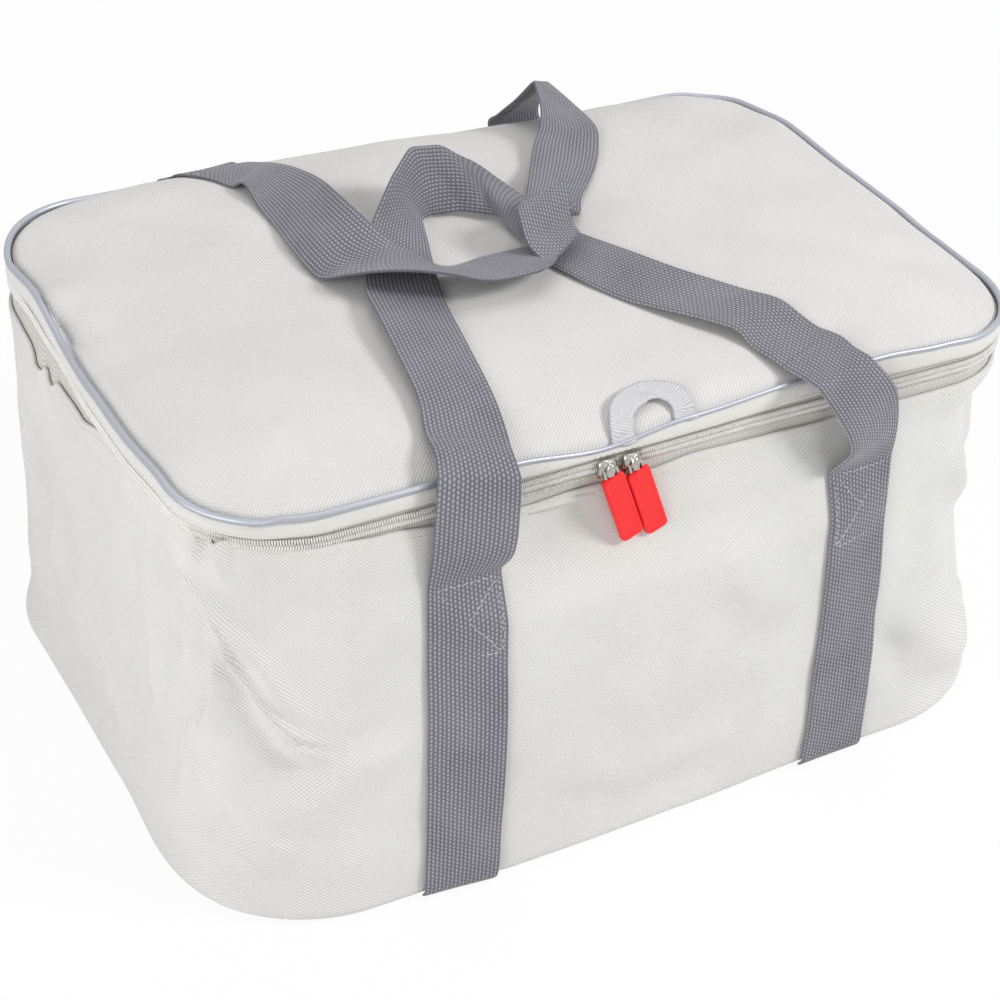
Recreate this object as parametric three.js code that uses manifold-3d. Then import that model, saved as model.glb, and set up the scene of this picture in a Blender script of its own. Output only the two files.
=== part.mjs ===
import * as THREE from 'three';
import { mergeVertices } from 'three/addons/utils/BufferGeometryUtils.js';
import Module from 'manifold-3d';

// Soft insulated carrier with a zipped lid and two webbing handles.
// Millimetres, origin at the middle of the underside, +X right, -Y the zipped front, +Z up.

// Lid
const LID_LENGTH = 450;
const LID_DEPTH = 310;
const LID_CORNER = 55;
const LID_CROWN = 14;
const CROWN_REACH = 90;
const PIPING_DIAMETER = 5;

// Walls and base
const END_FLARE = 5;
const FRONT_FLARE = 12;
const CORNER_FLARE = 20;
const BASE_EDGE = 8;
const WALL_TOP = 200;

// Layers
const FABRIC = 1.5;
const FOAM = 6;
const LINER = 0.8;
const BINDING = 2.7;
const GAP = 0.3;

// Zip band between wall and lid
const TAPE = 0.8;
const TAPE_INSET = 0.5;
const TAPE_TUCK = 6;
const ZIP_RISE = 12;
const ZIP_PARTING = 1.2;
const ZIP_TAIL = 12;
const COIL_HEIGHT = 2.8;
const COIL_DEPTH = 2.2;
const GUSSET_RISE = 4.5;
const GUSSET_HEIGHT = 6.7;
const HINGE_INSET = 2;
const STOP_LENGTH = 3;

// Sliders and pulls
const SLIDER_LENGTH = 10;
const SLIDER_HEIGHT = 9;
const SLIDER_PLATE = 1.1;
const SLIDER_WEB = 0.6;
const ARCH_LENGTH = 3;
const ARCH_HEIGHT = 5.4;
const ARCH_WALL = 0.9;
const SLIDER_SPACING = 13.4;
const MEETING_X = -26;
const LINK_WIRE = 1.3;
const LINK_STAND = 1.5;
const LINK_WIDTH = 8;
const LINK_DROP = 9;
const PULL_START = 3.7;
const PULL_LENGTH = 38;
const PULL_WIDTH = 12;
const PULL_THICKNESS = 3.6;
const PULL_CORNER = 2.5;
const PULL_TILT = THREE.MathUtils.degToRad(20);

// Lift loop at the lid's front edge
const LOOP_X = -3;
const LOOP_WIDTH = 40;
const LOOP_REACH = 30;
const RIBBON_WIDTH = 9;
const RIBBON_THICKNESS = 1.6;
const LOOP_SETBACK = 1;

// Webbing handles
const WEB_WIDTH = 38;
const WEBBING = 1.8;
const STRAP_SPACING = 220;
const STRAP_SHIFT = 4;
const STITCH_TOP = 163;
const STITCH_HEIGHT = 43;
const STITCH_MARGIN = 3;
const STITCH_LINE = 1.2;
const STITCH_THICKNESS = 0.5;
const RISER_BOW = 17;
const FOLD_REACH = 39;

// How finely round forms are stepped
const CORNER_STEPS = 6;
const PIPING_SIDES = 8;
const LOOP_STEPS = 14;

// Heights and outlines that follow from the sizes above
const ZIP_HEIGHT = WALL_TOP + ZIP_RISE;
const GUSSET_FOOT = ZIP_HEIGHT + GUSSET_RISE;
const GUSSET_TOP = GUSSET_FOOT + GUSSET_HEIGHT;
const PIPING_HEIGHT = GUSSET_TOP + GAP + PIPING_DIAMETER / 2;
const TAPE_FOOT = WALL_TOP - TAPE_TUCK;
const FLOOR_FOAM = FABRIC + GAP;
const FLOOR_TOP = FLOOR_FOAM + FOAM + GAP;
const FOAM_TOP = TAPE_FOOT - GAP;
const SEAM_X = LID_LENGTH / 2 - PIPING_DIAMETER / 2;
const SEAM_Y = LID_DEPTH / 2 - PIPING_DIAMETER / 2;
const SEAM_RADIUS = LID_CORNER - PIPING_DIAMETER / 2;
const TAPE_FACE = -TAPE_INSET;
const COVER_FACE = TAPE_FACE + GAP;
const PANEL_INSET = PIPING_DIAMETER / 2 + GAP;
const STRAP_LEFT = STRAP_SHIFT - STRAP_SPACING / 2;
const STRAP_RIGHT = STRAP_SHIFT + STRAP_SPACING / 2;

const wasm = await Module();
wasm.setup();

const bag = new THREE.Group();

function finish(color, roughness, metalness = 0) {
  return new THREE.MeshStandardMaterial({ color, roughness, metalness });
}

const materials = {
  fabric: finish(0xdedcd6, 0.85),
  trim: finish(0xe4dfd2, 0.8),
  foam: finish(0xf2f2ee, 0.95),
  liner: finish(0xc9ccd0, 0.35, 0.4),
  piping: finish(0xb4bac4, 0.3, 0.3),
  tape: finish(0xb9b6ac, 0.8),
  coil: finish(0x9c9a92, 0.5),
  webbing: finish(0x77767f, 0.85),
  thread: finish(0xb4b4ba, 0.7),
  ribbon: finish(0xe6e6ea, 0.7),
  metal: finish(0xb8b8b6, 0.2, 1),
  rubber: finish(0xe8262b, 0.5),
};

function place(name, geometry, material, parent = bag) {
  const mesh = new THREE.Mesh(geometry, materials[material]);
  mesh.name = name;
  parent.add(mesh);
  return mesh;
}

// A closed body from points and triangles, turned so that its faces point out.
function closedBody(points, triangles) {
  let volume = 0;
  for (const [a, b, c] of triangles) {
    volume += points[a].dot(points[b].clone().cross(points[c]));
  }
  const index = triangles.flatMap(([a, b, c]) => (volume < 0 ? [a, c, b] : [a, b, c]));
  const geometry = new THREE.BufferGeometry().setFromPoints(points);
  geometry.setIndex(index);
  geometry.computeVertexNormals();
  return geometry;
}

// Joins loops of points, each to the next. The ends are capped, or meet when the run is closed.
function loft(loops, closed = false) {
  const size = loops[0].length;
  const last = loops.length - 1;
  const triangles = [];
  const spans = closed ? loops.length : last;
  for (let i = 0; i < spans; i += 1) {
    const near = i * size;
    const far = ((i + 1) % loops.length) * size;
    for (let k = 0; k < size; k += 1) {
      const next = (k + 1) % size;
      triangles.push([near + k, near + next, far + next]);
      triangles.push([near + k, far + next, far + k]);
    }
  }
  for (let k = 1; k < size - 1 && !closed; k += 1) {
    triangles.push([0, k + 1, k]);
    triangles.push([last * size, last * size + k, last * size + k + 1]);
  }
  return closedBody(loops.flat(), triangles);
}

function asManifold(geometry) {
  const bare = geometry.clone();
  bare.deleteAttribute('normal');
  bare.deleteAttribute('uv');
  const merged = mergeVertices(bare, 1e-4);
  const vertProperties = new Float32Array(merged.attributes.position.array);
  const triVerts = new Uint32Array(merged.index.array);
  return new wasm.Manifold(new wasm.Mesh({ numProp: 3, vertProperties, triVerts }));
}

function asGeometry(manifold) {
  const { vertProperties, triVerts } = manifold.getMesh();
  const geometry = new THREE.BufferGeometry();
  geometry.setAttribute('position', new THREE.BufferAttribute(new Float32Array(vertProperties), 3));
  geometry.setIndex(new THREE.BufferAttribute(new Uint32Array(triVerts), 1));
  geometry.computeVertexNormals();
  return geometry;
}

// A rounded rectangle, from the back right corner round the front to the back left corner.
function outline(halfX, halfY, radius, z) {
  const r = Math.max(radius, GAP);
  const corners = [[1, 1, 90], [1, -1, 0], [-1, -1, -90], [-1, 1, -180]];
  const points = [];
  for (const [sideX, sideY, start] of corners) {
    for (let k = 0; k <= CORNER_STEPS; k += 1) {
      const angle = THREE.MathUtils.degToRad(start - (90 * k) / CORNER_STEPS);
      const x = sideX * (halfX - r) + r * Math.cos(angle);
      const y = sideY * (halfY - r) + r * Math.sin(angle);
      points.push(new THREE.Vector3(x, y, z));
    }
  }
  return points;
}

// The lid's seam line, moved outwards by an offset.
function seamRing(offset, z) {
  return outline(SEAM_X + offset, SEAM_Y + offset, SEAM_RADIUS + offset, z);
}

// The wall's outside at a height: a straight flare from hem to base, rounded in at the foot.
function wallSize(z) {
  const hem = COVER_FACE + FABRIC;
  const drop = 1 - z / WALL_TOP;
  const foot = Math.max(BASE_EDGE - z, 0);
  const rounding = BASE_EDGE - Math.sqrt(BASE_EDGE ** 2 - foot ** 2);
  return {
    halfX: THREE.MathUtils.lerp(SEAM_X + hem, LID_LENGTH / 2 + END_FLARE, drop) - rounding,
    halfY: THREE.MathUtils.lerp(SEAM_Y + hem, LID_DEPTH / 2 + FRONT_FLARE, drop) - rounding,
    radius: THREE.MathUtils.lerp(SEAM_RADIUS + hem, LID_CORNER + CORNER_FLARE, drop) - rounding,
  };
}

function wallRing(z, inward) {
  const { halfX, halfY, radius } = wallSize(z);
  return outline(halfX - inward, halfY - inward, radius - inward, z);
}

// Base and walls

function basePanel() {
  place('base_panel', loft([wallRing(0, 0), wallRing(FABRIC / 2, 0), wallRing(FABRIC, 0)]), 'fabric');
  const foamHeights = [FLOOR_FOAM, BASE_EDGE / 2, FLOOR_FOAM + FOAM];
  place('base_foam', loft(foamHeights.map((z) => wallRing(z, FABRIC + 2 * GAP))), 'foam');
}

function walls() {
  const shellHeights = [FLOOR_FOAM, BASE_EDGE / 2, BASE_EDGE, WALL_TOP];
  const shell = [
    ...shellHeights.map((z) => wallRing(z, 0)),
    ...shellHeights.toReversed().map((z) => wallRing(z, FABRIC)),
  ];
  place('wall_shell', loft(shell, true), 'fabric');

  const foamFace = FABRIC + GAP;
  const foamHeights = [FLOOR_TOP, Math.max(FLOOR_TOP, BASE_EDGE) + FABRIC, FOAM_TOP];
  const foam = [
    ...foamHeights.map((z) => wallRing(z, foamFace)),
    ...foamHeights.toReversed().map((z) => wallRing(z, foamFace + FOAM)),
  ];
  place('wall_foam', loft(foam, true), 'foam');

  const linerFace = foamFace + FOAM + GAP;
  const tub = [
    wallRing(FLOOR_TOP, linerFace),
    wallRing(FOAM_TOP, linerFace),
    wallRing(FOAM_TOP, linerFace + LINER),
    wallRing(FLOOR_TOP + LINER, linerFace + LINER),
  ];
  place('liner_tub', loft(tub), 'liner');

  const bindingFace = TAPE_FACE - TAPE - GAP;
  const bindingBack = bindingFace - FOAM - LINER;
  const bindingFoot = FOAM_TOP + GAP;
  const binding = [
    seamRing(bindingFace, bindingFoot),
    seamRing(bindingFace, bindingFoot + BINDING),
    seamRing(bindingBack, bindingFoot + BINDING),
    seamRing(bindingBack, bindingFoot),
  ];
  place('mouth_binding', loft(binding, true), 'trim');
}

// Zip band

// The seam line from tail to tail round the front, for what the zip carries.
function zipRun(offset, z, tail) {
  const points = seamRing(offset, z);
  if (tail > 0) {
    const ends = [points[0], points[points.length - 1]].map((point) => point.clone());
    ends[0].x -= tail;
    ends[1].x += tail;
    points.unshift(ends[0]);
    points.push(ends[1]);
  }
  return points;
}

function bandAlongZip(face, depth, low, high, tail) {
  const outerLow = zipRun(face + depth, low, tail);
  const outerHigh = zipRun(face + depth, high, tail);
  const innerHigh = zipRun(face, high, tail);
  const innerLow = zipRun(face, low, tail);
  return loft(outerLow.map((point, i) => [point, outerHigh[i], innerHigh[i], innerLow[i]]));
}

function zipBand() {
  const edge = ZIP_PARTING / 2;
  const tapeBack = TAPE_FACE - TAPE;
  const lowTape = bandAlongZip(tapeBack, TAPE, TAPE_FOOT, ZIP_HEIGHT - edge, ZIP_TAIL);
  const highTape = bandAlongZip(tapeBack, TAPE, ZIP_HEIGHT + edge, GUSSET_TOP, ZIP_TAIL);
  place('lower_zip_tape', lowTape, 'tape');
  place('upper_zip_tape', highTape, 'tape');
  const lowFoot = ZIP_HEIGHT - edge - COIL_HEIGHT;
  const highFoot = ZIP_HEIGHT + edge;
  const coil = (foot) => bandAlongZip(COVER_FACE, COIL_DEPTH, foot, foot + COIL_HEIGHT, 0);
  place('lower_zip_coil', coil(lowFoot), 'coil');
  place('upper_zip_coil', coil(highFoot), 'coil');
  place('lid_gusset', bandAlongZip(COVER_FACE, FABRIC, GUSSET_FOOT, GUSSET_TOP, ZIP_TAIL), 'trim');

  for (const [name, side] of [['zip_stop_left', -1], ['zip_stop_right', 1]]) {
    const stop = place(name, new THREE.BoxGeometry(STOP_LENGTH, COIL_DEPTH, COIL_HEIGHT), 'metal');
    const x = SEAM_X - SEAM_RADIUS - GAP - STOP_LENGTH / 2;
    const y = SEAM_Y + COVER_FACE + COIL_DEPTH / 2;
    stop.position.set(side * x, y, ZIP_HEIGHT - edge - COIL_HEIGHT / 2);
  }

  const stripLength = 2 * (SEAM_X - SEAM_RADIUS - ZIP_TAIL - HINGE_INSET);
  const stripTop = GUSSET_TOP - GAP;
  const sheet = new THREE.BoxGeometry(stripLength, TAPE, stripTop - TAPE_FOOT);
  const strip = place('rear_hinge_strip', sheet, 'fabric');
  strip.position.set(0, SEAM_Y + TAPE_FACE - TAPE / 2, (stripTop + TAPE_FOOT) / 2);
}

// Lid

function crown(inset) {
  const reach = Math.min(Math.max(inset, 0), CROWN_REACH) / CROWN_REACH;
  return LID_CROWN * (1 - (1 - reach) ** 2);
}

// Height of the lid's top surface, and of its edge beyond the lid.
function lidHeight(x, y) {
  const radius = SEAM_RADIUS - PANEL_INSET;
  const overX = Math.abs(x) - (SEAM_X - SEAM_RADIUS);
  const overY = Math.abs(y) - (SEAM_Y - SEAM_RADIUS);
  const outside = Math.hypot(Math.max(overX, 0), Math.max(overY, 0));
  const inside = Math.min(Math.max(overX, overY), 0);
  return PIPING_HEIGHT + crown(radius - outside - inside);
}

function crownedSheet(drop, thickness) {
  const insets = [0, 0.06, 0.14, 0.25, 0.42, 0.66, 1].map((share) => share * CROWN_REACH);
  const ring = (inset, z) => seamRing(-PANEL_INSET - inset, PIPING_HEIGHT + crown(inset) + z);
  const under = insets.toReversed().map((inset) => ring(inset, -drop - thickness));
  const over = insets.map((inset) => ring(inset, -drop));
  return loft([...under, ...over]);
}

function lid() {
  place('lid_panel', crownedSheet(0, FABRIC), 'fabric');
  place('lid_foam', crownedSheet(FABRIC + GAP, FOAM), 'foam');
  place('lid_liner', crownedSheet(FABRIC + FOAM + 2 * GAP, LINER), 'liner');

  const centres = seamRing(0, PIPING_HEIGHT);
  const outward = seamRing(1, PIPING_HEIGHT);
  const sections = centres.map((centre, i) => {
    const out = outward[i].clone().sub(centre).normalize();
    return Array.from({ length: PIPING_SIDES }, (_, k) => {
      const angle = (2 * Math.PI * (k + 0.5)) / PIPING_SIDES;
      const point = centre.clone().addScaledVector(out, (Math.cos(angle) * PIPING_DIAMETER) / 2);
      point.z += (Math.sin(angle) * PIPING_DIAMETER) / 2;
      return point;
    });
  });
  place('lid_piping', loft(sections, true), 'piping');
}

// A half ring of ribbon that lies back on the lid from its front edge.
function liftLoop() {
  const ring = new THREE.Shape();
  const outerX = LOOP_WIDTH / 2;
  const innerX = outerX - RIBBON_WIDTH;
  const innerY = LOOP_REACH - RIBBON_WIDTH;
  ring.moveTo(outerX, 0);
  ring.absellipse(0, 0, outerX, LOOP_REACH, 0, Math.PI, false);
  ring.lineTo(-innerX, 0);
  ring.absellipse(0, 0, innerX, innerY, Math.PI, 0, true);
  ring.closePath();
  const options = { depth: RIBBON_THICKNESS, bevelEnabled: false, curveSegments: LOOP_STEPS };
  const loop = place('lift_loop', new THREE.ExtrudeGeometry(ring, options), 'ribbon');
  const slope = Math.atan2(2 * LID_CROWN, CROWN_REACH);
  const foot = PANEL_INSET + LOOP_SETBACK;
  loop.position.set(LOOP_X, -SEAM_Y + foot, PIPING_HEIGHT + crown(LOOP_SETBACK) + GAP);
  loop.rotation.x = slope;
}

// Sliders and pulls

function box(width, depth, height, x, y, z) {
  return asManifold(new THREE.BoxGeometry(width, depth, height).translate(x, y, z));
}

// Two plates either side of the tape, joined by a web between the zip's halves, with an arch on the front.
function sliderBody() {
  const backFace = TAPE + GAP;
  const frontFace = -(GAP + COIL_DEPTH + GAP);
  const back = box(SLIDER_LENGTH, SLIDER_PLATE, SLIDER_HEIGHT, 0, backFace + SLIDER_PLATE / 2, 0);
  const front = box(SLIDER_LENGTH, SLIDER_PLATE, SLIDER_HEIGHT, 0, frontFace - SLIDER_PLATE / 2, 0);
  const webDepth = backFace - frontFace + SLIDER_PLATE;
  const web = box(SLIDER_LENGTH / 2, webDepth, SLIDER_WEB, 0, (backFace + frontFace) / 2, 0);
  const tunnel = LINK_STAND + LINK_WIRE + GAP;
  const archFace = frontFace - SLIDER_PLATE;
  const archDepth = tunnel + ARCH_WALL;
  const block = box(ARCH_LENGTH, archDepth, ARCH_HEIGHT, 0, archFace - archDepth / 2, 0);
  const hole = box(2 * ARCH_LENGTH, tunnel, ARCH_HEIGHT - 2 * ARCH_WALL, 0, archFace - tunnel / 2, 0);
  return asGeometry(back.add(front).add(web).add(block).subtract(hole));
}

const LINK_OFFSET = GAP + COIL_DEPTH + GAP + SLIDER_PLATE + LINK_STAND + LINK_WIRE / 2;

function roundedRect(width, top, bottom, corner) {
  const shape = new THREE.Shape();
  const half = width / 2;
  shape.moveTo(-half + corner, bottom);
  shape.lineTo(half - corner, bottom);
  shape.absarc(half - corner, bottom + corner, corner, -Math.PI / 2, 0, false);
  shape.lineTo(half, top - corner);
  shape.absarc(half - corner, top - corner, corner, 0, Math.PI / 2, false);
  shape.lineTo(-half + corner, top);
  shape.absarc(-half + corner, top - corner, corner, Math.PI / 2, Math.PI, false);
  shape.lineTo(-half, bottom + corner);
  shape.absarc(-half + corner, bottom + corner, corner, Math.PI, 1.5 * Math.PI, false);
  shape.closePath();
  return shape;
}

// A flat shape drawn in width and height, given a thickness about the plane y = 0.
function upright(shape, thickness, curveSegments) {
  const geometry = new THREE.ExtrudeGeometry(shape, { depth: thickness, bevelEnabled: false, curveSegments });
  return geometry.translate(0, 0, -thickness / 2).rotateX(Math.PI / 2);
}

function pullLink() {
  const half = LINK_WIRE / 2;
  const ring = roundedRect(LINK_WIDTH, half, -LINK_DROP, LINK_WIRE);
  ring.holes.push(roundedRect(LINK_WIDTH - 2 * LINK_WIRE, -half, LINK_WIRE - LINK_DROP, half));
  return upright(ring, LINK_WIRE, 3);
}

// The rubber tab, with a slot in its top that holds the link.
function pullTab() {
  const tab = roundedRect(PULL_WIDTH, -PULL_START, -PULL_START - PULL_LENGTH, PULL_CORNER);
  const slotDepth = 2 * (LINK_DROP - PULL_START + GAP);
  const slot = box(LINK_WIDTH + 2 * GAP, LINK_WIRE + 2 * GAP, slotDepth, 0, 0, -PULL_START);
  return asGeometry(asManifold(upright(tab, PULL_THICKNESS, 4)).subtract(slot));
}

function sliders() {
  const lean = Math.atan2(wallSize(0).halfY + BASE_EDGE - wallSize(WALL_TOP).halfY, WALL_TOP);
  for (const [side, direction] of [['left', -1], ['right', 1]]) {
    const slider = new THREE.Group();
    slider.position.set(MEETING_X + (direction * SLIDER_SPACING) / 2, -SEAM_Y - TAPE_FACE, ZIP_HEIGHT);
    bag.add(slider);
    place(`${side}_slider`, sliderBody(), 'metal', slider);
    const pull = new THREE.Group();
    pull.position.y = -LINK_OFFSET;
    pull.rotation.set(-lean, -PULL_TILT, 0);
    slider.add(pull);
    place(`${side}_pull_link`, pullLink(), 'metal', pull);
    place(`${side}_pull_tab`, pullTab(), 'rubber', pull);
  }
}

// Webbing handles

// The half width of a strip that runs along one direction and lies across another.
function halfWidth(along, across) {
  return across.clone().addScaledVector(along, -across.dot(along)).setLength(WEB_WIDTH / 2);
}

// A flat strip through stations, each with a centre, its direction and that of its width.
function ribbon(stations) {
  const sections = stations.map(({ centre, along, across }) => {
    const side = halfWidth(along, across);
    const face = along.clone().cross(side).setLength(WEBBING / 2);
    return [[1, 1], [-1, 1], [-1, -1], [1, -1]].map(([s, f]) => {
      return centre.clone().addScaledVector(side, s).addScaledVector(face, f);
    });
  });
  return loft(sections);
}

// Where the middle of sewn webbing lies against the front wall (side -1) or the back wall (side 1).
function sewnY(z, side) {
  return side * (wallSize(z).halfY + GAP + WEBBING / 2);
}

// The free run from the stitching up to the lid's edge: x, y, height over the lid, direction of width.
function riserRows(x, lean, side, across, edgeLift) {
  const edge = (side * LID_DEPTH) / 2;
  const climb = STITCH_TOP - PIPING_HEIGHT;
  const drift = lean * STRAP_SPACING;
  const shares = [[0.1, 0.53, 0], [0.27, 0.85, 0.15], [0.59, 1, 0.38], [0.9, 0.91, 0.7]];
  const bowed = shares.map(([rise, bow, turn]) => {
    return [x + drift * turn, edge + side * RISER_BOW * bow, climb * (1 - rise), across, 0, 0];
  });
  const foot = [x, sewnY(STITCH_TOP, side), climb, across, 0, 0];
  const top = [x + drift, edge + side * RISER_BOW * 0.53, edgeLift * WEB_WIDTH, across, 0, 0];
  return [foot, ...bowed, top];
}

// How the free webbing lies over the lid. Each row has x as a share of the strap spacing, y as a share of the
// lid's depth, the height of the lower edge over the lid as a share of the width, and the width's direction.
// Rows by the lid's edge have y as a share of the fold's reach, in from that edge.
const FRONT = {
  side: -1,
  across: [-1, 1],
  lean: [0.009, -0.059],
  edgeLift: [0.237, 0.237],
  leftEdge: [[-0.464, 0.128, 0.316, -1, 0.1, 0], [-0.427, 1, 0.132, -0.96, 0.28, 0]],
  drape: [
    [-0.345, -0.168, 0.079, -0.95, 0.3, 0],
    [-0.264, -0.026, 0.053, -0.93, 0.36, 0.05],
    [-0.205, 0.071, 0.05, -0.88, 0.3, 0.28],
    [-0.15, 0.119, 0.05, -0.35, 0.2, 0.9],
    [-0.082, 0.139, 0.053, -0.1, 0.1, 1],
    [0, 0.132, 0.05, 0.35, 0.35, 0.8],
    [0.068, 0.097, 0.053, 0.8, 0.45, 0.2],
    [0.109, 0.026, 0.079, 0.95, 0.25, 0.02],
    [0.141, -0.09, 0.079, 0.93, 0.34, 0],
    [0.209, -0.239, 0.079, 0.88, 0.46, 0],
  ],
  rightEdge: [[0.314, 1, 0.132, 0.9, 0.42, 0], [0.423, 0.128, 0.316, 1, 0.12, 0]],
};
const BACK = {
  side: 1,
  across: [-1, -1],
  lean: [0.009, -0.036],
  edgeLift: [0.158, 0.237],
  leftEdge: [[-0.473, 0.128, 0.237, -1, -0.1, 0], [-0.473, 1, 0.368, -0.9, -0.35, 0]],
  drape: [
    [-0.445, 0.271, 0.474, -0.8, -0.6, 0],
    [-0.382, 0.181, 0.342, -0.85, -0.5, 0],
    [-0.362, 0.077, 0.295, -0.97, 0.1, -0.15],
    [-0.338, 0.013, 0.315, -0.97, -0.2, -0.05],
    [-0.3, -0.045, 0.274, -0.8, -0.54, 0.24],
    [-0.227, -0.077, 0.247, -0.44, -0.77, 0.49],
    [-0.15, -0.123, 0.211, -0.45, -0.55, 0.7],
    [-0.027, -0.116, 0.211, -0.58, -0.41, 0.7],
    [0.064, -0.039, 0.279, -0.85, 0.1, 0.45],
    [0.105, 0.026, 0.671, -0.92, -0.35, 0],
    [0.173, 0.09, 0.618, -0.95, -0.1, 0],
    [0.282, 0.174, 0.474, -0.96, 0.2, 0],
    [0.386, 0.284, 0.316, -0.98, 0.15, 0],
  ],
  rightEdge: [[0.445, 1, 0.263, -0.9, -0.2, 0.3], [0.468, 0.128, 0.421, -1, -0.05, 0.05]],
};

function strapRows(strap) {
  const { side, across, lean, edgeLift } = strap;
  const laid = ([x, y, lift, ...width]) => {
    return [x * STRAP_SPACING, y * LID_DEPTH, lift * WEB_WIDTH, ...width];
  };
  const fromEdge = ([x, inset, lift, ...width]) => {
    return [x * STRAP_SPACING, side * (LID_DEPTH / 2 - inset * FOLD_REACH), lift * WEB_WIDTH, ...width];
  };
  return [
    ...riserRows(STRAP_LEFT, lean[0], side, across[0], edgeLift[0]),
    ...strap.leftEdge.map(fromEdge),
    ...strap.drape.map(laid),
    ...strap.rightEdge.map(fromEdge),
    ...riserRows(STRAP_RIGHT, lean[1], side, across[1], edgeLift[1]).toReversed(),
  ];
}

// The run of a strap through its rows, as a station at any share of its rows.
function strapRun(rows) {
  const last = rows.length - 1;
  const points = rows.map((row) => new THREE.Vector3(...row.slice(0, 3)));
  const directions = rows.map((row) => new THREE.Vector3(...row.slice(3)).normalize());
  const centres = new THREE.CatmullRomCurve3(points);
  const widths = new THREE.CatmullRomCurve3(directions);
  const nudge = 0.02;
  const middle = (row) => {
    const share = THREE.MathUtils.clamp(row / last, 0, 1);
    const centre = centres.getPoint(share);
    centre.z += lidHeight(centre.x, centre.y) + Math.abs(widths.getPoint(share).z) * (WEB_WIDTH / 2);
    return centre;
  };
  return (row) => {
    const along = middle(row + nudge).sub(middle(row - nudge)).normalize();
    return { centre: middle(row), along, across: widths.getPoint(THREE.MathUtils.clamp(row / last, 0, 1)) };
  };
}

// Stations between two rows, stopping short of each by a share of a gap.
function stationsBetween(station, from, to, steps, trimFrom, trimTo) {
  const pace = (row, step) => station(row).centre.distanceTo(station(row + step).centre) / Math.abs(step);
  const start = from + (trimFrom * GAP) / pace(from, 0.05);
  const end = to - (trimTo * GAP) / pace(to, -0.05);
  return Array.from({ length: steps + 1 }, (_, k) => station(THREE.MathUtils.lerp(start, end, k / steps)));
}

// The sewn length of a strap, from the base's edge towards the top of its stitching.
function sewnStations(x, side, across, heading) {
  const climb = STITCH_TOP - BASE_EDGE;
  const along = new THREE.Vector3(0, sewnY(STITCH_TOP, side) - sewnY(BASE_EDGE, side), climb).normalize();
  return [BASE_EDGE / 2, BASE_EDGE, STITCH_TOP - STITCH_MARGIN].map((z) => {
    const centre = new THREE.Vector3(x, sewnY(z, side), z);
    return { centre, along: along.clone().multiplyScalar(heading), across: new THREE.Vector3(across, 0, 0) };
  });
}

function handle(name, strap) {
  const rows = strapRows(strap);
  const last = rows.length - 1;
  const edgeRow = 5;
  const foldRow = 7;
  const riserSteps = 15;
  const foldSteps = 6;
  const drapeSteps = 3 * (last - 2 * foldRow);
  const station = strapRun(rows);
  const part = (...span) => stationsBetween(station, ...span);

  const leftLeg = [
    ...sewnStations(STRAP_LEFT, strap.side, strap.across[0], 1),
    ...part(0, edgeRow, riserSteps, 0, 2),
  ];
  const rightLeg = [
    ...part(last - edgeRow, last, riserSteps, 2, 0),
    ...sewnStations(STRAP_RIGHT, strap.side, strap.across[1], -1).toReversed(),
  ];
  place(`${name}_leg_left`, ribbon(leftLeg), 'webbing');
  place(`${name}_leg_right`, ribbon(rightLeg), 'webbing');
  place(`${name}_fold_left`, ribbon(part(edgeRow, foldRow, foldSteps, 0.5, 0.5)), 'webbing');
  place(`${name}_fold_right`, ribbon(part(last - foldRow, last - edgeRow, foldSteps, 0.5, 0.5)), 'webbing');
  place(`${name}_loop`, ribbon(part(foldRow, last - foldRow, drapeSteps, 0.5, 0.5)), 'webbing');
}

// A sewn box with a cross in it: thin lines of thread joined into one piece.
function stitchBox() {
  const width = WEB_WIDTH - 2 * STITCH_MARGIN;
  const angle = Math.atan2(STITCH_HEIGHT, width);
  const diagonal = Math.hypot(STITCH_HEIGHT, width) - 2 * STITCH_LINE;
  const sideX = (width - STITCH_LINE) / 2;
  const sideY = (STITCH_HEIGHT - STITCH_LINE) / 2;
  const line = (length, turn, x, y) => {
    const bar = new THREE.BoxGeometry(length, STITCH_LINE, STITCH_THICKNESS);
    return asManifold(bar.rotateZ(turn).translate(x, y, STITCH_THICKNESS / 2));
  };
  const lines = [
    line(width, 0, 0, -sideY),
    line(width, 0, 0, sideY),
    line(STITCH_HEIGHT, Math.PI / 2, -sideX, 0),
    line(STITCH_HEIGHT, Math.PI / 2, sideX, 0),
    line(diagonal, angle, 0, 0),
    line(diagonal, -angle, 0, 0),
  ];
  return asGeometry(lines.reduce((whole, next) => whole.add(next)));
}

function stitching() {
  const middle = STITCH_TOP - STITCH_MARGIN - STITCH_HEIGHT / 2;
  const flare = wallSize(BASE_EDGE).halfY - wallSize(WALL_TOP).halfY;
  const slope = Math.atan2(flare, WALL_TOP - BASE_EDGE);
  const out = GAP + WEBBING + GAP;
  for (const [name, side] of [['front', -1], ['back', 1]]) {
    for (const [end, x] of [['left', STRAP_LEFT], ['right', STRAP_RIGHT]]) {
      const mesh = place(`${name}_stitch_${end}`, stitchBox(), 'thread');
      mesh.position.set(x, side * (wallSize(middle).halfY + out), middle);
      mesh.rotation.set(Math.PI / 2 - slope, 0, side > 0 ? Math.PI : 0, 'ZXY');
    }
  }
}

basePanel();
walls();
zipBand();
lid();
liftLoop();
sliders();
handle('front', FRONT);
handle('back', BACK);
stitching();

export default bag;
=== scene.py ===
import math

import bmesh
import bpy
import numpy as np
from mathutils import Matrix, Vector, noise


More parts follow.
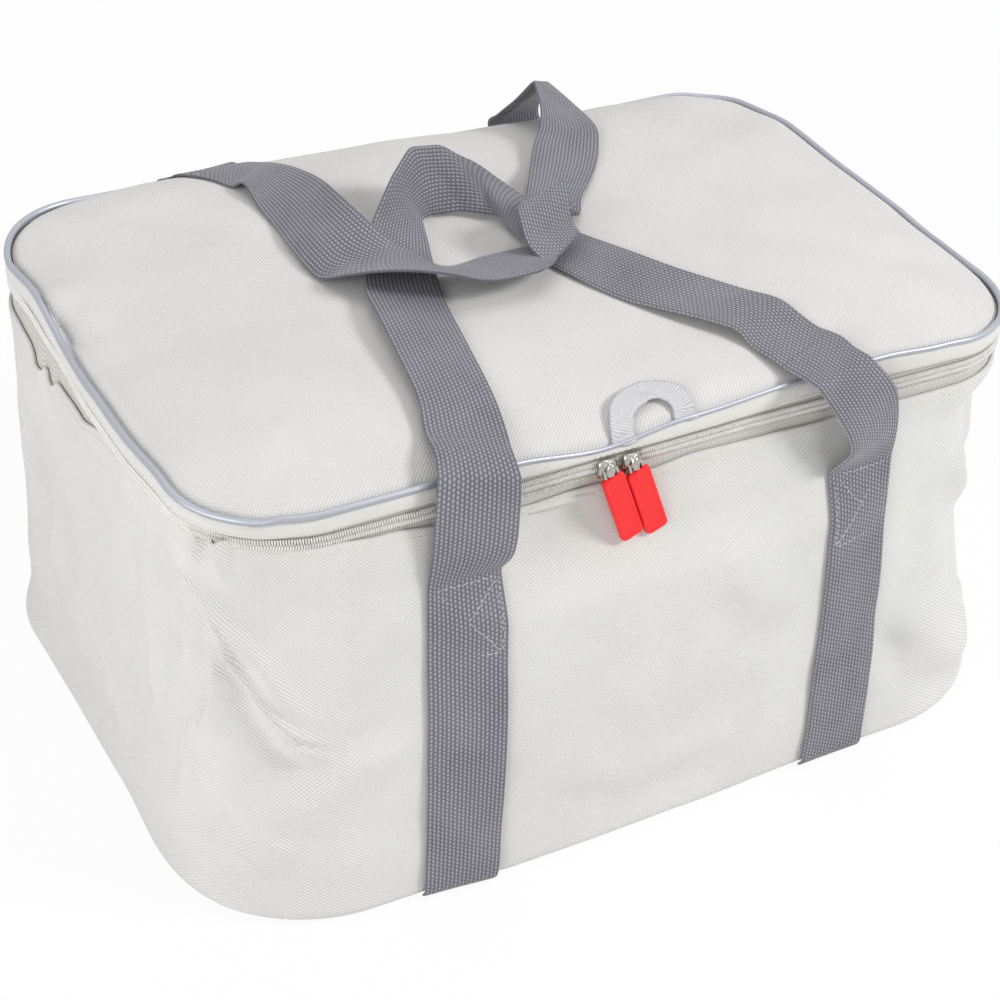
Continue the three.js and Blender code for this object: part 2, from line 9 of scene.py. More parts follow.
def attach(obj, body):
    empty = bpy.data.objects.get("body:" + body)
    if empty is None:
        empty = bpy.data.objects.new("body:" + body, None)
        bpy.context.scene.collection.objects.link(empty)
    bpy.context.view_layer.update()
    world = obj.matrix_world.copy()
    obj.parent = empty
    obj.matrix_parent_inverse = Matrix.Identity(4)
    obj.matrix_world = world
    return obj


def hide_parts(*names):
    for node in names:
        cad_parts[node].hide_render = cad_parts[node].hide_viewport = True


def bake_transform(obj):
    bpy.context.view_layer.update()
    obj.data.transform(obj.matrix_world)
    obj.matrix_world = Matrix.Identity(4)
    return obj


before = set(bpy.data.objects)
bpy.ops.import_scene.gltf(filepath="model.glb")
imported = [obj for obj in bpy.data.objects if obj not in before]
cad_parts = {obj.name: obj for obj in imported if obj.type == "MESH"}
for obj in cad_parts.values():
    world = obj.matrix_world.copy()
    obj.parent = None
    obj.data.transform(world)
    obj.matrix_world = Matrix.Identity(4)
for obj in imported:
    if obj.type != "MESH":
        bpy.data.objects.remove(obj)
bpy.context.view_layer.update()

MM = 0.001

# Sizes of the part, in millimetres
SEAM_X, SEAM_Y, SEAM_R = 222.5, 152.5, 52.5
BASE_X, BASE_Y, BASE_R = 230.0, 167.0, 75.0
HEM, FOOT_R = 1.3, 8.0
PIPING_Z, PIPING_R = 226.0, 1.75
ZIP_Z, WALL_TOP, FLOOR_TOP = 212.0, 200.0, 9.0
CROWN, CROWN_REACH, PADDING = 14.0, 90.0, 8.6
WEB_WIDTH, WEBBING, WEB_GAP = 38.0, 1.7, 0.95
STRAP_X = (-106.0, 114.0)
STITCH_TOP = 174.0
MEETING_X, SLIDER_SPACING, PULL_TILT = -26.0, 13.4, 20.0

# Stretches of the seam: the straight front, a corner and a straight side
FRONT_RUN, CORNER_RUN, SIDE_RUN = SEAM_X - SEAM_R, SEAM_R * math.pi / 2, 2 * (SEAM_Y - SEAM_R)
ZIP_END = FRONT_RUN + 2 * CORNER_RUN + SIDE_RUN
HALF_RING = ZIP_END + FRONT_RUN
TABLE_END = math.ceil(HALF_RING)


# Small helpers

def smooth(t):
    t = np.clip(t, 0, 1)
    return t * t * (3 - 2 * t)


def table(marks, end=0):
    """A smooth curve through marks (q, value) along the seam, with one value where its ends meet."""
    marks = [(-TABLE_END, end)] + marks + [(TABLE_END, end)]
    at, value = np.array(list(zip(*marks)), float)

    def read(q):
        q = np.asarray(q, float)
        i = np.clip(np.searchsorted(at, q) - 1, 0, len(at) - 2)
        t = smooth((q - at[i]) / (at[i + 1] - at[i]))
        return value[i] * (1 - t) + value[i + 1] * t

    return read


def grain(points, scale, seed):
    """Smooth noise of about -1 to 1 at points, with features of that size in millimetres."""
    shift = Vector((seed * 7.31, seed * 3.17, seed * 1.93))
    flat = np.asarray(points, float).reshape(-1, 3) / scale
    values = [noise.noise(Vector(p) + shift) for p in flat]
    return np.array(values).reshape(np.asarray(points).shape[:-1])


def grid_faces(rows, cols, wrap_rows=False, wrap_cols=False):
    r = np.arange(rows if wrap_rows else rows - 1)
    c = np.arange(cols if wrap_cols else cols - 1)
    row, col = np.meshgrid(r, c, indexing="ij")
    row2, col2 = (row + 1) % rows, (col + 1) % cols
    quads = [row * cols + col, row * cols + col2, row2 * cols + col2, row2 * cols + col]
    return np.stack(quads, -1).reshape(-1, 4).tolist()


def tube_faces(count, size):
    """Faces of a tube of count rings, with its two ends closed."""
    faces = grid_faces(count, size, wrap_cols=True)
    faces.append(list(range(size))[::-1])
    faces.append(list(range((count - 1) * size, count * size)))
    return faces


def raised(xy, z):
    """Points of the plan at a height."""
    return np.concatenate([xy, np.broadcast_to(z, xy.shape[:-1])[..., None]], -1)


def cloth_grid(along, across):
    """Cloth coordinates of rows of points."""
    return np.stack(np.meshgrid(along, across, indexing="ij"), -1)


def lengths(points):
    """The length of a line of points up to each of them."""
    steps = np.linalg.norm(np.diff(points, axis=0), axis=1)
    return np.concatenate([[0], np.cumsum(steps)])


def at_lengths(points, run, places):
    """Where a line of points is at some lengths along it."""
    return np.stack([np.interp(places, run, points[:, k]) for k in range(3)], -1)


def dent(u, v, at_u, at_v, size_u, size_v, depth):
    """A soft round dent, or a rise, in a surface."""
    return depth * np.exp(-((u - at_u) / size_u) ** 2 - ((v - at_v) / size_v) ** 2)


def make(name, points, faces, material, uv=None, outward=True, merge=False):
    """A mesh object from points in millimetres, with its cloth coordinates in metres."""
    mesh = bpy.data.meshes.new(name)
    mesh.from_pydata((np.asarray(points, float).reshape(-1, 3) * MM).tolist(), [], faces)
    if uv is not None:
        layer = mesh.uv_layers.new(name="cloth")
        index = np.empty(len(mesh.loops), np.int32)
        mesh.loops.foreach_get("vertex_index", index)
        flat = np.asarray(uv, float).reshape(-1, 2)[index] * MM
        layer.data.foreach_set("uv", flat.ravel())
    mesh.materials.append(material)
    mesh.polygons.foreach_set("use_smooth", np.ones(len(mesh.polygons), bool))
    if outward or merge:
        bm = bmesh.new()
        bm.from_mesh(mesh)
        if merge:
            bmesh.ops.remove_doubles(bm, verts=bm.verts, dist=2e-5)
        if outward:
            bmesh.ops.recalc_face_normals(bm, faces=bm.faces)
        bm.to_mesh(mesh)
        bm.free()
    obj = bpy.data.objects.new(name, mesh)
    bpy.context.collection.objects.link(obj)
    return obj


def face_up(obj, number, up):
    """The piece is turned inside out if that face of it doesn't look up, or down where up is -1."""
    if obj.data.polygons[number].normal.z * up < 0:
        obj.data.flip_normals()


def settle(obj, body, slot, *nodes):
    """The piece rides a body and stands for CAD nodes, which are hidden. The slot is not used."""
    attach(obj, body)
    if nodes:
        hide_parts(*nodes)


# Materials

class Nodes:
    """A short way to write the node tree of a material or of the world."""

    def __init__(self, owner, output="ShaderNodeOutputMaterial"):
        self.owner = owner
        owner.use_nodes = True
        self.tree = owner.node_tree
        self.tree.nodes.clear()
        self.output = self.add(output)

    def add(self, kind, inputs=None, **settings):
        """A new node, with a value or another node's output for each of its inputs."""
        node = self.tree.nodes.new(kind)
        for key, value in settings.items():
            setattr(node, key, value)
        for key, value in (inputs or {}).items():
            if isinstance(value, bpy.types.NodeSocket):
                self.tree.links.new(value, node.inputs[key])
            else:
                node.inputs[key].default_value = value
        return node

    def math(self, operation, a, b=0.0, clamp=False):
        return self.add("ShaderNodeMath", {0: a, 1: b}, operation=operation, use_clamp=clamp).outputs[0]

    def wave(self, value, period, phase=0.0):
        """A sine of value with that period, from 0 to 1."""
        turned = self.math("MULTIPLY", value, 2 * math.pi / period)
        turned = self.math("ADD", turned, phase)
        half = self.math("MULTIPLY", self.math("SINE", turned), 0.5)
        return self.math("ADD", half, 0.5)

    def cloth(self):
        place = self.add("ShaderNodeUVMap", uv_map="cloth").outputs[0]
        return self.add("ShaderNodeSeparateXYZ", {0: place}).outputs[:2]

    def noise(self, scale, detail=2.0):
        place = self.add("ShaderNodeTexCoord").outputs["Object"]
        inputs = {"Vector": place, "Scale": scale, "Detail": detail}
        return self.add("ShaderNodeTexNoise", inputs).outputs["Fac"]

    def drift(self, scale, amount):
        """Noise to both sides of zero."""
        return self.math("MULTIPLY", self.math("SUBTRACT", self.noise(scale), 0.5), amount)

    def shares(self, a, share_a, b, share_b):
        """Two values added in these shares."""
        return self.math("ADD", self.math("MULTIPLY", a, share_a), self.math("MULTIPLY", b, share_b))

    def mix(self, share, a, b):
        inputs = {"Factor": share, "A": a, "B": b}
        return self.add("ShaderNodeMix", inputs, data_type="RGBA").outputs["Result"]

    def bump(self, height, distance, strength, **below):
        inputs = {"Height": height, "Distance": distance, "Strength": strength, **below}
        return self.add("ShaderNodeBump", inputs).outputs["Normal"]

    def shader(self, kind, **inputs):
        """A shader, with its inputs by name, where an underscore stands for a space."""
        return self.add(kind, {key.replace("_", " "): value for key, value in inputs.items()}).outputs[0]

    def mixed(self, share, first, second):
        return self.add("ShaderNodeMixShader", {0: share, 1: first, 2: second}).outputs[0]

    def show(self, shader):
        self.tree.links.new(shader, self.output.inputs["Surface"])
        return self.owner

    def surface(self, color, roughness, normal, **more):
        base = {"Base_Color": color, "Roughness": roughness, "Normal": normal}
        return self.show(self.shader("ShaderNodeBsdfPrincipled", **base, **more))


def rgb(r, g, b):
    """A colour written as it shows on screen, 0 to 255."""
    def linear(v):
        v /= 255
        return v / 12.92 if v <= 0.04045 else ((v + 0.055) / 1.055) ** 2.4

    return (linear(r), linear(g), linear(b), 1.0)


def woven(name, light, dark, pitch, depth, lean=1.0):
    """Plain woven cloth: one diagonal of its crossings leads, over uneven yarn and soft blotches."""
    n = Nodes(bpy.data.materials.new(name))
    u, v = n.cloth()
    uneven = n.drift(320.0, 0.0008)
    slant = n.math("MULTIPLY", v, lean)
    lead = n.wave(n.math("ADD", n.math("ADD", u, slant), uneven), pitch)
    other = n.wave(n.math("SUBTRACT", n.math("SUBTRACT", u, slant), uneven), pitch)
    cross = n.shares(lead, 0.68, other, 0.32)
    speck = n.math("MULTIPLY", n.noise(1500.0, 1.0), 0.12)
    tone = n.math("ADD", n.shares(cross, 0.62, n.noise(22.0, 3.0), 0.3), speck, clamp=True)
    normal = n.bump(cross, depth, 0.7)
    return n.surface(n.mix(tone, dark, light), 0.85, normal, Sheen_Weight=0.12, Sheen_Roughness=0.5)


def webbed(name, light, dark, along, across, depth):
    """Webbing: columns of short pale threads on a dark ground, every second column half a row on."""
    n = Nodes(bpy.data.materials.new(name))
    u, v = n.cloth()
    number = n.math("FLOOR", n.math("ADD", n.math("DIVIDE", v, across), 0.25))
    shift = n.math("MULTIPLY", n.math("MODULO", number, 2.0), math.pi)
    row = n.math("POWER", n.wave(n.math("ADD", u, n.drift(240.0, 0.0011)), along, shift), 0.6)
    column = n.math("POWER", n.wave(v, across), 1.2)
    thread = n.math("MULTIPLY", row, column)
    tone = n.shares(thread, 0.8, n.noise(1400.0), 0.2)
    tone = n.math("ADD", tone, n.drift(40.0, 0.25), clamp=True)
    normal = n.bump(thread, depth, 0.8)
    return n.surface(n.mix(tone, dark, light), 0.8, normal, Sheen_Weight=0.2, Sheen_Roughness=0.4)


def ribbed(name, light, dark, along, across, depth, rough=0.8, crumple=0.0):
    """Tape or ribbon: rows of dark dashes between raised threads."""
    n = Nodes(bpy.data.materials.new(name))
    u, v = n.cloth()
    uneven = n.drift(260.0, 0.0009)
    row = n.math("POWER", n.wave(n.math("ADD", u, uneven), along), 0.8)
    column = n.math("POWER", n.wave(n.math("ADD", v, uneven), across), 0.5)
    thread = n.math("SUBTRACT", 1.0, n.math("MULTIPLY", row, column))
    tone = n.shares(thread, 0.85, n.noise(1400.0), 0.15)
    tone = n.math("ADD", tone, n.drift(40.0, 0.3), clamp=True)
    normal = n.bump(thread, depth, 0.8)
    if crumple:
        normal = n.bump(n.noise(280.0, 3.0), crumple, 1.0, Normal=normal)
    return n.surface(n.mix(tone, dark, light), rough, normal, Sheen_Weight=0.2, Sheen_Roughness=0.4)


def plain(name, color, shade, rough, scale, depth, **more):
    """A moulded or coated surface with a fine grain and slight blotches."""
    n = Nodes(bpy.data.materials.new(name))
    blotch = n.noise(scale * 0.1, 2.0)
    fine = n.noise(scale, 3.0)
    worn = n.math("ADD", rough - 0.1, n.math("MULTIPLY", fine, 0.25))
    return n.surface(n.mix(blotch, color, shade), worn, n.bump(fine, depth, 0.5), **more)


FABRIC = woven("cloth_shell", rgb(242, 241, 238), rgb(190, 189, 186), 0.0019, 0.0002)
LID_CLOTH = woven("cloth_lid", rgb(241, 240, 238), rgb(190, 189, 187), 0.0019, 0.0002, -1.0)
TRIM = woven("cloth_trim", rgb(241, 240, 236), rgb(198, 197, 193), 0.0015, 0.0001)
# The tape's dark tone is deepened beyond its weave: painted shade in the gaps between the coil's teeth.
TAPE_WITH_PAINTED_SHADE = ribbed("zip_tape", rgb(222, 220, 214), rgb(160, 158, 151), 0.0012, 0.0011, 0.00006)
WEB = webbed("webbing", rgb(178, 177, 185), rgb(86, 85, 95), 0.0023, 0.00205, 0.0003)
RIBBON = ribbed("ribbon", rgb(222, 221, 225), rgb(180, 179, 186), 0.001, 0.05, 0.00006, 0.6, 0.001)
COIL = plain("zip_coil", rgb(244, 243, 239), rgb(228, 226, 222), 0.45, 900.0, 0.00003)
THREAD = plain("thread", rgb(204, 203, 207), rgb(184, 183, 188), 0.7, 2500.0, 0.00004)
PALE_THREAD = plain("pale_thread", rgb(236, 234, 228), rgb(208, 205, 198), 0.7, 2500.0, 0.00004)
PIPING = plain("piping", rgb(186, 190, 198), rgb(164, 168, 178), 0.32, 150.0, 0.00002, Metallic=0.4)
METAL = plain("nickel", rgb(190, 187, 181), rgb(170, 167, 162), 0.16, 900.0, 0.000004, Metallic=1.0)
RUBBER = plain("red_rubber", rgb(252, 38, 42), rgb(240, 26, 32), 0.5, 1500.0, 0.00002)
LINER = plain("liner", rgb(214, 217, 221), rgb(196, 200, 205), 0.4, 60.0, 0.0012, Metallic=0.25)


# The seam line: q runs from the front's middle, right positive, to the middle of the back

def outline(q, half_x, half_y, radius):
    """Points and outward normals of a rounded rectangle at the places q of the seam."""
    q = np.asarray(q, float)
    side = np.where(q < 0, -1.0, 1.0)
    s = np.abs(q)
    flat_x, flat_y = half_x - radius, half_y - radius
    turn1 = np.clip((s - FRONT_RUN) / CORNER_RUN, 0, 1) * math.pi / 2
    turn2 = np.clip((s - FRONT_RUN - CORNER_RUN - SIDE_RUN) / CORNER_RUN, 0, 1) * math.pi / 2
    turn = turn1 + turn2
    nx, ny = np.sin(turn), -np.cos(turn)
    ahead = np.clip(s / FRONT_RUN, 0, 1) * flat_x
    behind = np.clip((s - ZIP_END) / FRONT_RUN, 0, 1) * flat_x
    depth = np.clip((s - FRONT_RUN - CORNER_RUN) / SIDE_RUN, 0, 1)
    x = ahead - behind + radius * nx
    y = -flat_y + 2 * flat_y * depth + radius * ny
    return np.stack([side * x, y], -1), np.stack([side * nx, ny], -1)


# How far the sewn seam stands out of its straight plan
SEAM_BULGE = table([
    (-440, 0), (-390, 2), (-335, 5), (-295, 5.5), (-250, 3), (-215, 0.5), (-190, 0),
])


def seam(q, offset):
    """Points of the plan along the seam, moved out by an offset."""
    xy, normal = outline(q, SEAM_X, SEAM_Y, SEAM_R)
    return xy + normal * (np.asarray(offset, float) + SEAM_BULGE(q))[..., None]


# Height of the lid's edge, the zip, the gusset's lower edge and the wall's hem over their plain levels
LID_WAVE = table([
    (-600, 0.5), (-555, 1), (-500, 2), (-460, 0), (-414, 5), (-372, -1), (-325, 0), (-265, 0),
    (-225, -3), (-205, -2), (-190, 0.5), (-160, 1), (-124, 1), (-82, 0), (-34, -5), (14, 0), (74, 3.5),
    (122, 4.5), (158, 2), (190, 0), (225, -1), (260, -0.5), (292, 0), (328, 2), (370, 2.5), (424, 4.5),
    (467, -0.5), (500, -4), (535, -8), (590, -8.5), (640, -5.5),
], -1.5)
ZIP_WAVE = table([
    (-535, 0), (-414, 2), (-325, 0), (-252, 0), (-215, 0), (-195, 0.6), (-165, 0.2), (-120, 0),
    (-67, -0.4), (-46, 0), (-10, 0), (18, 0.5), (60, 1), (100, 0.5), (160, 0), (225, -1), (292, -4),
    (370, -1), (535, 0),
])
GUSSET_WAVE = table([
    (-535, 0), (-460, -1), (-414, 2.5), (-372, -1), (-325, -1), (-265, -1), (-225, -2),
    (-205, -1), (-185, 0.5), (-124, 1), (-82, 0.5), (-60, 0.2), (-10, 0.2), (14, 0.5), (74, 2), (122, 2.5),
    (158, 1.5), (190, 0), (225, -1.5), (260, -3), (292, -3.5), (328, -1), (370, 0), (424, 3), (467, -1),
    (535, 0),
])
HEM_WAVE = table([
    (-535, 0), (-460, -1), (-434, -4), (-422, -9), (-411, -9), (-404, -3), (-394, -8), (-387, -2),
    (-350, 1), (-318, 9), (-290, 13), (-252, 13.5), (-238, 13), (-228, 9.5), (-222, 9.5), (-216, 12.5),
    (-200, 12), (-172, 9), (-145, 6.5), (-98, 1), (-67, -2), (-27, 0), (19, 4), (60, 3), (100, 1),
    (160, 1), (225, 1), (292, -2), (370, 0),
])


def run_of(start, end, step):
    count = max(2, int(round(abs(end - start) / step)))
    return np.linspace(start, end, count + 1)


def ring_places(step):
    """Places all round the seam, closer together at the corners."""
    edges = [0, FRONT_RUN, FRONT_RUN + CORNER_RUN, FRONT_RUN + CORNER_RUN + SIDE_RUN, ZIP_END]
    half = [run_of(a, b, step if i in (0, 2, 4) else step * 0.7)[:-1]
            for i, (a, b) in enumerate(zip(edges, edges[1:] + [HALF_RING]))]
    right = np.concatenate(half + [[HALF_RING]])
    return np.concatenate([-right[::-1], right[1:]])


# Walls

def wall_size(z):
    """Half sizes and corner radius of the straight, flared wall at a height, with its rounded foot."""
    drop = 1 - z / WALL_TOP
    foot = np.clip(FOOT_R - z, 0, FOOT_R)
    rounding = FOOT_R - np.sqrt(FOOT_R ** 2 - foot ** 2)
    sizes = ((SEAM_X, BASE_X), (SEAM_Y, BASE_Y), (SEAM_R, BASE_R))
    return [top + HEM + (base - top - HEM) * drop - rounding for top, base in sizes]


# How far the loaded wall stands out, along the seam, at some heights
SPREAD = [
    (0, table([
        (-400, 0), (-310, 1), (-250, 4), (-211, 8), (-125, 9), (-87, 13), (-40, 13), (20, 12),
        (114, 9), (170, 9), (211, 10), (250, 9), (310, 6), (400, 2),
    ])),
    (30, table([
        (-460, -5), (-400, -4), (-310, 0), (-250, 3), (-211, 6), (-125, 9), (-87, 14), (-40, 15),
        (20, 13), (114, 10), (170, 8), (211, 8), (250, 7), (310, 4), (400, 2),
    ])),
    (55, table([
        (-450, -4), (-310, -1), (-250, 2), (-211, 4.5), (-125, 8.5), (-87, 14.5), (-40, 16.5),
        (20, 14.5), (114, 9.5), (170, 4), (211, 0), (250, -4), (310, -4), (400, -1),
    ])),
    (90, table([
        (-450, -4), (-310, -2), (-250, 0), (-211, 2), (-125, 8), (-87, 15), (-30, 18), (30, 16),
        (95, 11), (133, 6), (170, 1), (211, -5), (250, -8), (310, -6), (400, -3),
    ])),
    (145, table([
        (-450, -2), (-310, -3), (-250, -2), (-211, 0), (-125, 3), (-87, 11), (-30, 13), (30, 12),
        (95, 9), (133, 2), (170, -3), (211, -8), (250, -9), (310, -7), (400, -3),
    ])),
    (178, table([
        (-450, -1), (-310, -1), (-250, 0), (-125, 0.5), (-87, 2), (20, 3), (95, 2), (133, 0),
        (170, -4), (211, -11), (250, -13), (310, -8), (400, -1),
    ])),
    (198, SEAM_BULGE),
]


def spread(q, z):
    q, z = np.broadcast_arrays(np.asarray(q, float), np.asarray(z, float))
    total = np.where(z < SPREAD[0][0], SPREAD[0][1](q), SPREAD[-1][1](q))
    for (low, first), (high, second) in zip(SPREAD[:-1], SPREAD[1:]):
        here = (z >= low) & (z < high)
        share = smooth((z - low) / (high - low))
        total = np.where(here, first(q) * (1 - share) + second(q) * share, total)
    return total


# Creases of the wall: height before CREASE_DEPTH scales it, width, and points (q, z)
CREASE_DEPTH = 2.2
CREASES = [
    (1.6, 5, [(-246, 192), (-242, 188), (-227, 180), (-215, 164), (-203, 148), (-194, 128), (-179, 108)]),
    (1.5, 2.0, [(-248, 188), (-244, 186), (-236, 184), (-225, 174), (-214, 158), (-205, 140)]),
    (1.1, 1.8, [(-224, 166), (-217, 148), (-205, 128), (-192, 112), (-170, 98)]),
    (1.3, 1.9, [(-228, 160), (-222, 140), (-225, 118), (-231, 100), (-234, 84)]),
    (1.1, 1.8, [(-238, 106), (-240, 92), (-241, 76)]),
    (0.9, 2.2, [(-240, 160), (-246, 142)]),
    (1.3, 5, [(-226, 186), (-221, 176), (-221, 152), (-221, 128), (-224, 108), (-230, 86)]),
    (1.3, 8, [(-234, 166), (-236, 152), (-239, 130)]),
    (1.8, 5, [(-210, 144), (-206, 136), (-200, 120), (-191, 104), (-176, 90)]),
    (1.2, 6, [(-236, 92), (-236, 48)]),
    (1.0, 9, [(-131, 98), (-167, 88), (-188, 72), (-208, 54)]),
    (2.2, 13, [(-392, 98), (-362, 84), (-329, 64), (-300, 36)]),
    (1.3, 9, [(-196, 54), (-214, 30)]),
    (1.8, 10, [(-410, 112), (-422, 66)]),
    (2.0, 10, [(-300, 168), (-270, 120), (-262, 80)]),
    (2.2, 12, [(150, 90), (184, 48), (216, 14)]),
    (1.8, 9, [(252, 60), (229, 28)]),
    (1.6, 10, [(180, 160), (215, 120), (240, 110)]),
    (1.5, 9, [(206, 190), (222, 160), (228, 130)]),
    (1.4, 12, [(30, 150), (60, 118), (92, 104)]),
    (1.2, 12, [(-70, 60), (-20, 40), (60, 44)]),
    (2.0, 12, [(330, 170), (370, 120), (380, 70)]),
    (1.8, 12, [(470, 160), (440, 110), (450, 60)]),
    (1.6, 12, [(560, 180), (590, 120), (580, 60)]),
    (1.8, 11, [(-560, 170), (-600, 110), (-590, 50)]),
    (1.5, 12, [(-640, 140), (-690, 100)]),
]


def crease(q, z, height, width, marks):
    """A fold along marks: a ridge with a shallow valley beside it, fading out at its ends."""
    shape = np.broadcast(q, z).shape
    best = np.full(shape, 1e9)
    signed = np.zeros(shape)
    along = np.zeros(shape)
    steps = [math.hypot(b[0] - a[0], b[1] - a[1]) for a, b in zip(marks[:-1], marks[1:])]
    reach = 0.0
    for (q0, z0), (q1, z1), size in zip(marks[:-1], marks[1:], steps):
        dq, dz = (q1 - q0) / size, (z1 - z0) / size
        t = np.clip((q - q0) * dq + (z - z0) * dz, 0, size)
        gap_q, gap_z = q - q0 - t * dq, z - z0 - t * dz
        distance = np.hypot(gap_q, gap_z)
        nearer = distance < best
        best = np.where(nearer, distance, best)
        signed = np.where(nearer, np.sign(gap_q * dz - gap_z * dq) * distance, signed)
        along = np.where(nearer, reach + t, along)
        reach += size
    fade = smooth(along / (0.3 * reach)) * smooth((reach - along) / (0.3 * reach))
    ridge = np.exp(-(signed / width) ** 2)
    valley = np.exp(-((signed - 1.5 * width) / (1.1 * width)) ** 2)
    return height * fade * (ridge - 0.75 * valley)


# Places where the wall is pressed in or stands out: q, z, size along q, size along z, depth
WALL_DENTS = [
    (-42, 184, 24, 18, -6.5), (-66, 178, 22, 20, -4.5), (-228, 205, 4, 9, -6.5), (-219, 205, 4.5, 11, 5.5),
    (-240, 196, 8, 12, 1.6), (98, 186, 10, 18, -2.5), (-416, 186, 7, 12, 2.5), (-396, 188, 5, 10, 2.0),
    (-160, 196, 40, 12, 1.5), (40, 170, 60, 40, 1.5),
]


def wall_swell(q, z):
    """How far the padded wall stands out from its straight flare."""
    swell = np.zeros(np.broadcast(q, z).shape)
    for height, width, marks in CREASES:
        swell = swell + CREASE_DEPTH * crease(q, z, height, width, marks)
    for mark in WALL_DENTS:
        swell = swell + dent(q, z, *mark)
    return swell * smooth(z / 14) + spread(q, z)


def wall_surface(q, z):
    """Points of the wall's cloth, and its outward normals in the plan."""
    xy, normal = outline(q, *wall_size(z))
    place = raised(xy, z)
    swell = wall_swell(q, z)
    swell = swell + (grain(place, 55, 1) * 1.1 + grain(place, 18, 2) * 0.3) * smooth(z / 20)
    place[..., :2] += normal * swell[..., None]
    return place, normal


# The hem's turned edge: how far in from the wall's face, and how far over its top
LIP = [(0.25, 0.55), (0.9, 0.8), (1.5, 0.5), (1.9, -0.4), (2.0, -3), (2.0, -9)]

# The foot of the base, with its seam: how far in from the wall's foot, and height
BASE_EDGE = [(0.2, 1.6), (1.2, 0.7), (3.0, 0.15), (7.0, 0.0), (7.8, 0.5), (9.0, 0.0)]


def build_wall():
    low = 0.6
    q = ring_places(3.4)
    fine = run_of(-290, -110, 1.6)
    q = np.concatenate([q[q < fine[0] - 1], fine, q[q > fine[-1] + 1]])
    rows = np.concatenate([np.linspace(0, 0.06, 9)[:-1], np.linspace(0.06, 1, 100)])
    z = low + rows[:, None] * (WALL_TOP + HEM_WAVE(q) - low)[None, :]
    places, normal = wall_surface(np.broadcast_to(q, z.shape), z)
    lip = [raised(places[-1, :, :2] - normal[-1] * inward, places[-1, :, 2] + rise) for inward, rise in LIP]
    points = np.concatenate([places, np.array(lip)])
    heights = np.concatenate([z, np.array([z[-1] + 2 * (k + 1) for k in range(len(lip))])])
    uv = np.stack([np.broadcast_to(q, heights.shape), heights], -1)
    wall = make("wall_cloth", points, grid_faces(*points.shape[:2]), FABRIC, uv)
    settle(wall, "bag", "fabric", "wall_shell", "wall_foam")


def build_base():
    level = 1.2
    q = ring_places(7.0)[:-1]
    edge, normal = outline(q, *wall_size(np.full(q.shape, level)))
    edge = edge + normal * spread(q, level)[:, None]
    rows = [raised(edge - normal * inset, z) for inset, z in BASE_EDGE]
    for share in (0.2, 0.4, 0.6, 0.8, 0.97):
        rows.append(raised((edge - normal * BASE_EDGE[-1][0]) * (1 - share), 0.0))
    points = np.array(rows)
    count, size = points.shape[:2]
    faces = grid_faces(count, size, wrap_cols=True)
    faces.append(list(range((count - 1) * size, count * size)))
    base = make("base_cloth", points, faces, FABRIC, points[..., :2], outward=False)
    face_up(base, 0, -1)
    settle(base, "bag", "fabric", "base_panel", "base_foam")


# Zip band

# Sections of the upper tape and the gusset: offset from the seam, height, share of the lid's wave
UPPER_TAPE = [
    (-0.4, 212.6, 0), (-0.4, 217, 0), (-0.5, 222.6, 1), (-1.3, 222.6, 1), (-1.2, 217, 0), (-1.2, 212.6, 0),
]
GUSSET = [
    (-0.3, 224.6, 1), (0.5, 224.0, 1), (1.2, 222.8, 0.9), (1.5, 221, 0.6), (1.5, 219, 0.3),
    (1.35, 217.5, 0), (1.15, 216.7, 0), (0.75, 216.4, 0), (0.5, 217, 0), (0.6, 219, 0.3), (0.3, 221.5, 0.8),
]
TAPE_TAIL, COIL_PITCH, TOOTH = 12, 1.2, 2.4

# A tooth of the coil across its bar: place along the seam, and offset
TOOTH_ARCH = [(-0.46, 0.0), (-0.42, 0.9), (-0.2, 1.4), (0.2, 1.4), (0.42, 0.9), (0.46, 0.0)]

# A stitch from end to end: shares of its length, width and height
STITCH = [(0.0, 0.35, 0.0), (0.2, 1.0, 0.8), (0.5, 1.0, 1.0), (0.8, 1.0, 0.8), (1.0, 0.35, 0.0)]
STITCH_LIFT, STITCH_SINK = 0.12, 0.25


def band(name, q, section, material, wave, closed_ring=False):
    """A strip of that section (offset, z, share of the second wave) along the seam."""
    first, second = wave
    rows = []
    for offset, z, share in section:
        lift = first(q) * (1 - share) + second(q) * share
        rows.append(raised(seam(q, offset), z + lift))
    points = np.array(rows).transpose(1, 0, 2)
    uv = cloth_grid(q, lengths(np.array(section)[:, :2]))
    count, size = points.shape[:2]
    if closed_ring:
        faces = grid_faces(count, size, wrap_rows=True, wrap_cols=True)
    else:
        faces = tube_faces(count, size)
    return make(name, points, faces, material, uv)


def teeth(name, q, foot, lean):
    """One row of zip coil: a rounded bar for each turn, standing across the seam."""
    along, out = np.array(TOOTH_ARCH).T
    size = len(TOOTH_ARCH)
    ends = []
    for z, shift in ((foot, -lean), (foot + TOOTH, lean)):
        ends.append(raised(seam(q[:, None] + along + shift, out - 0.1), z + ZIP_WAVE(q)[:, None]))
    faces = []
    for start in range(0, len(q) * 2 * size, 2 * size):
        faces.extend([k, k + 1, k + size + 1, k + size] for k in range(start, start + size - 1))
        faces.append(list(range(start, start + size))[::-1])
        faces.append(list(range(start + size, start + 2 * size)))
    return make(name, np.stack(ends, 1), faces, COIL)


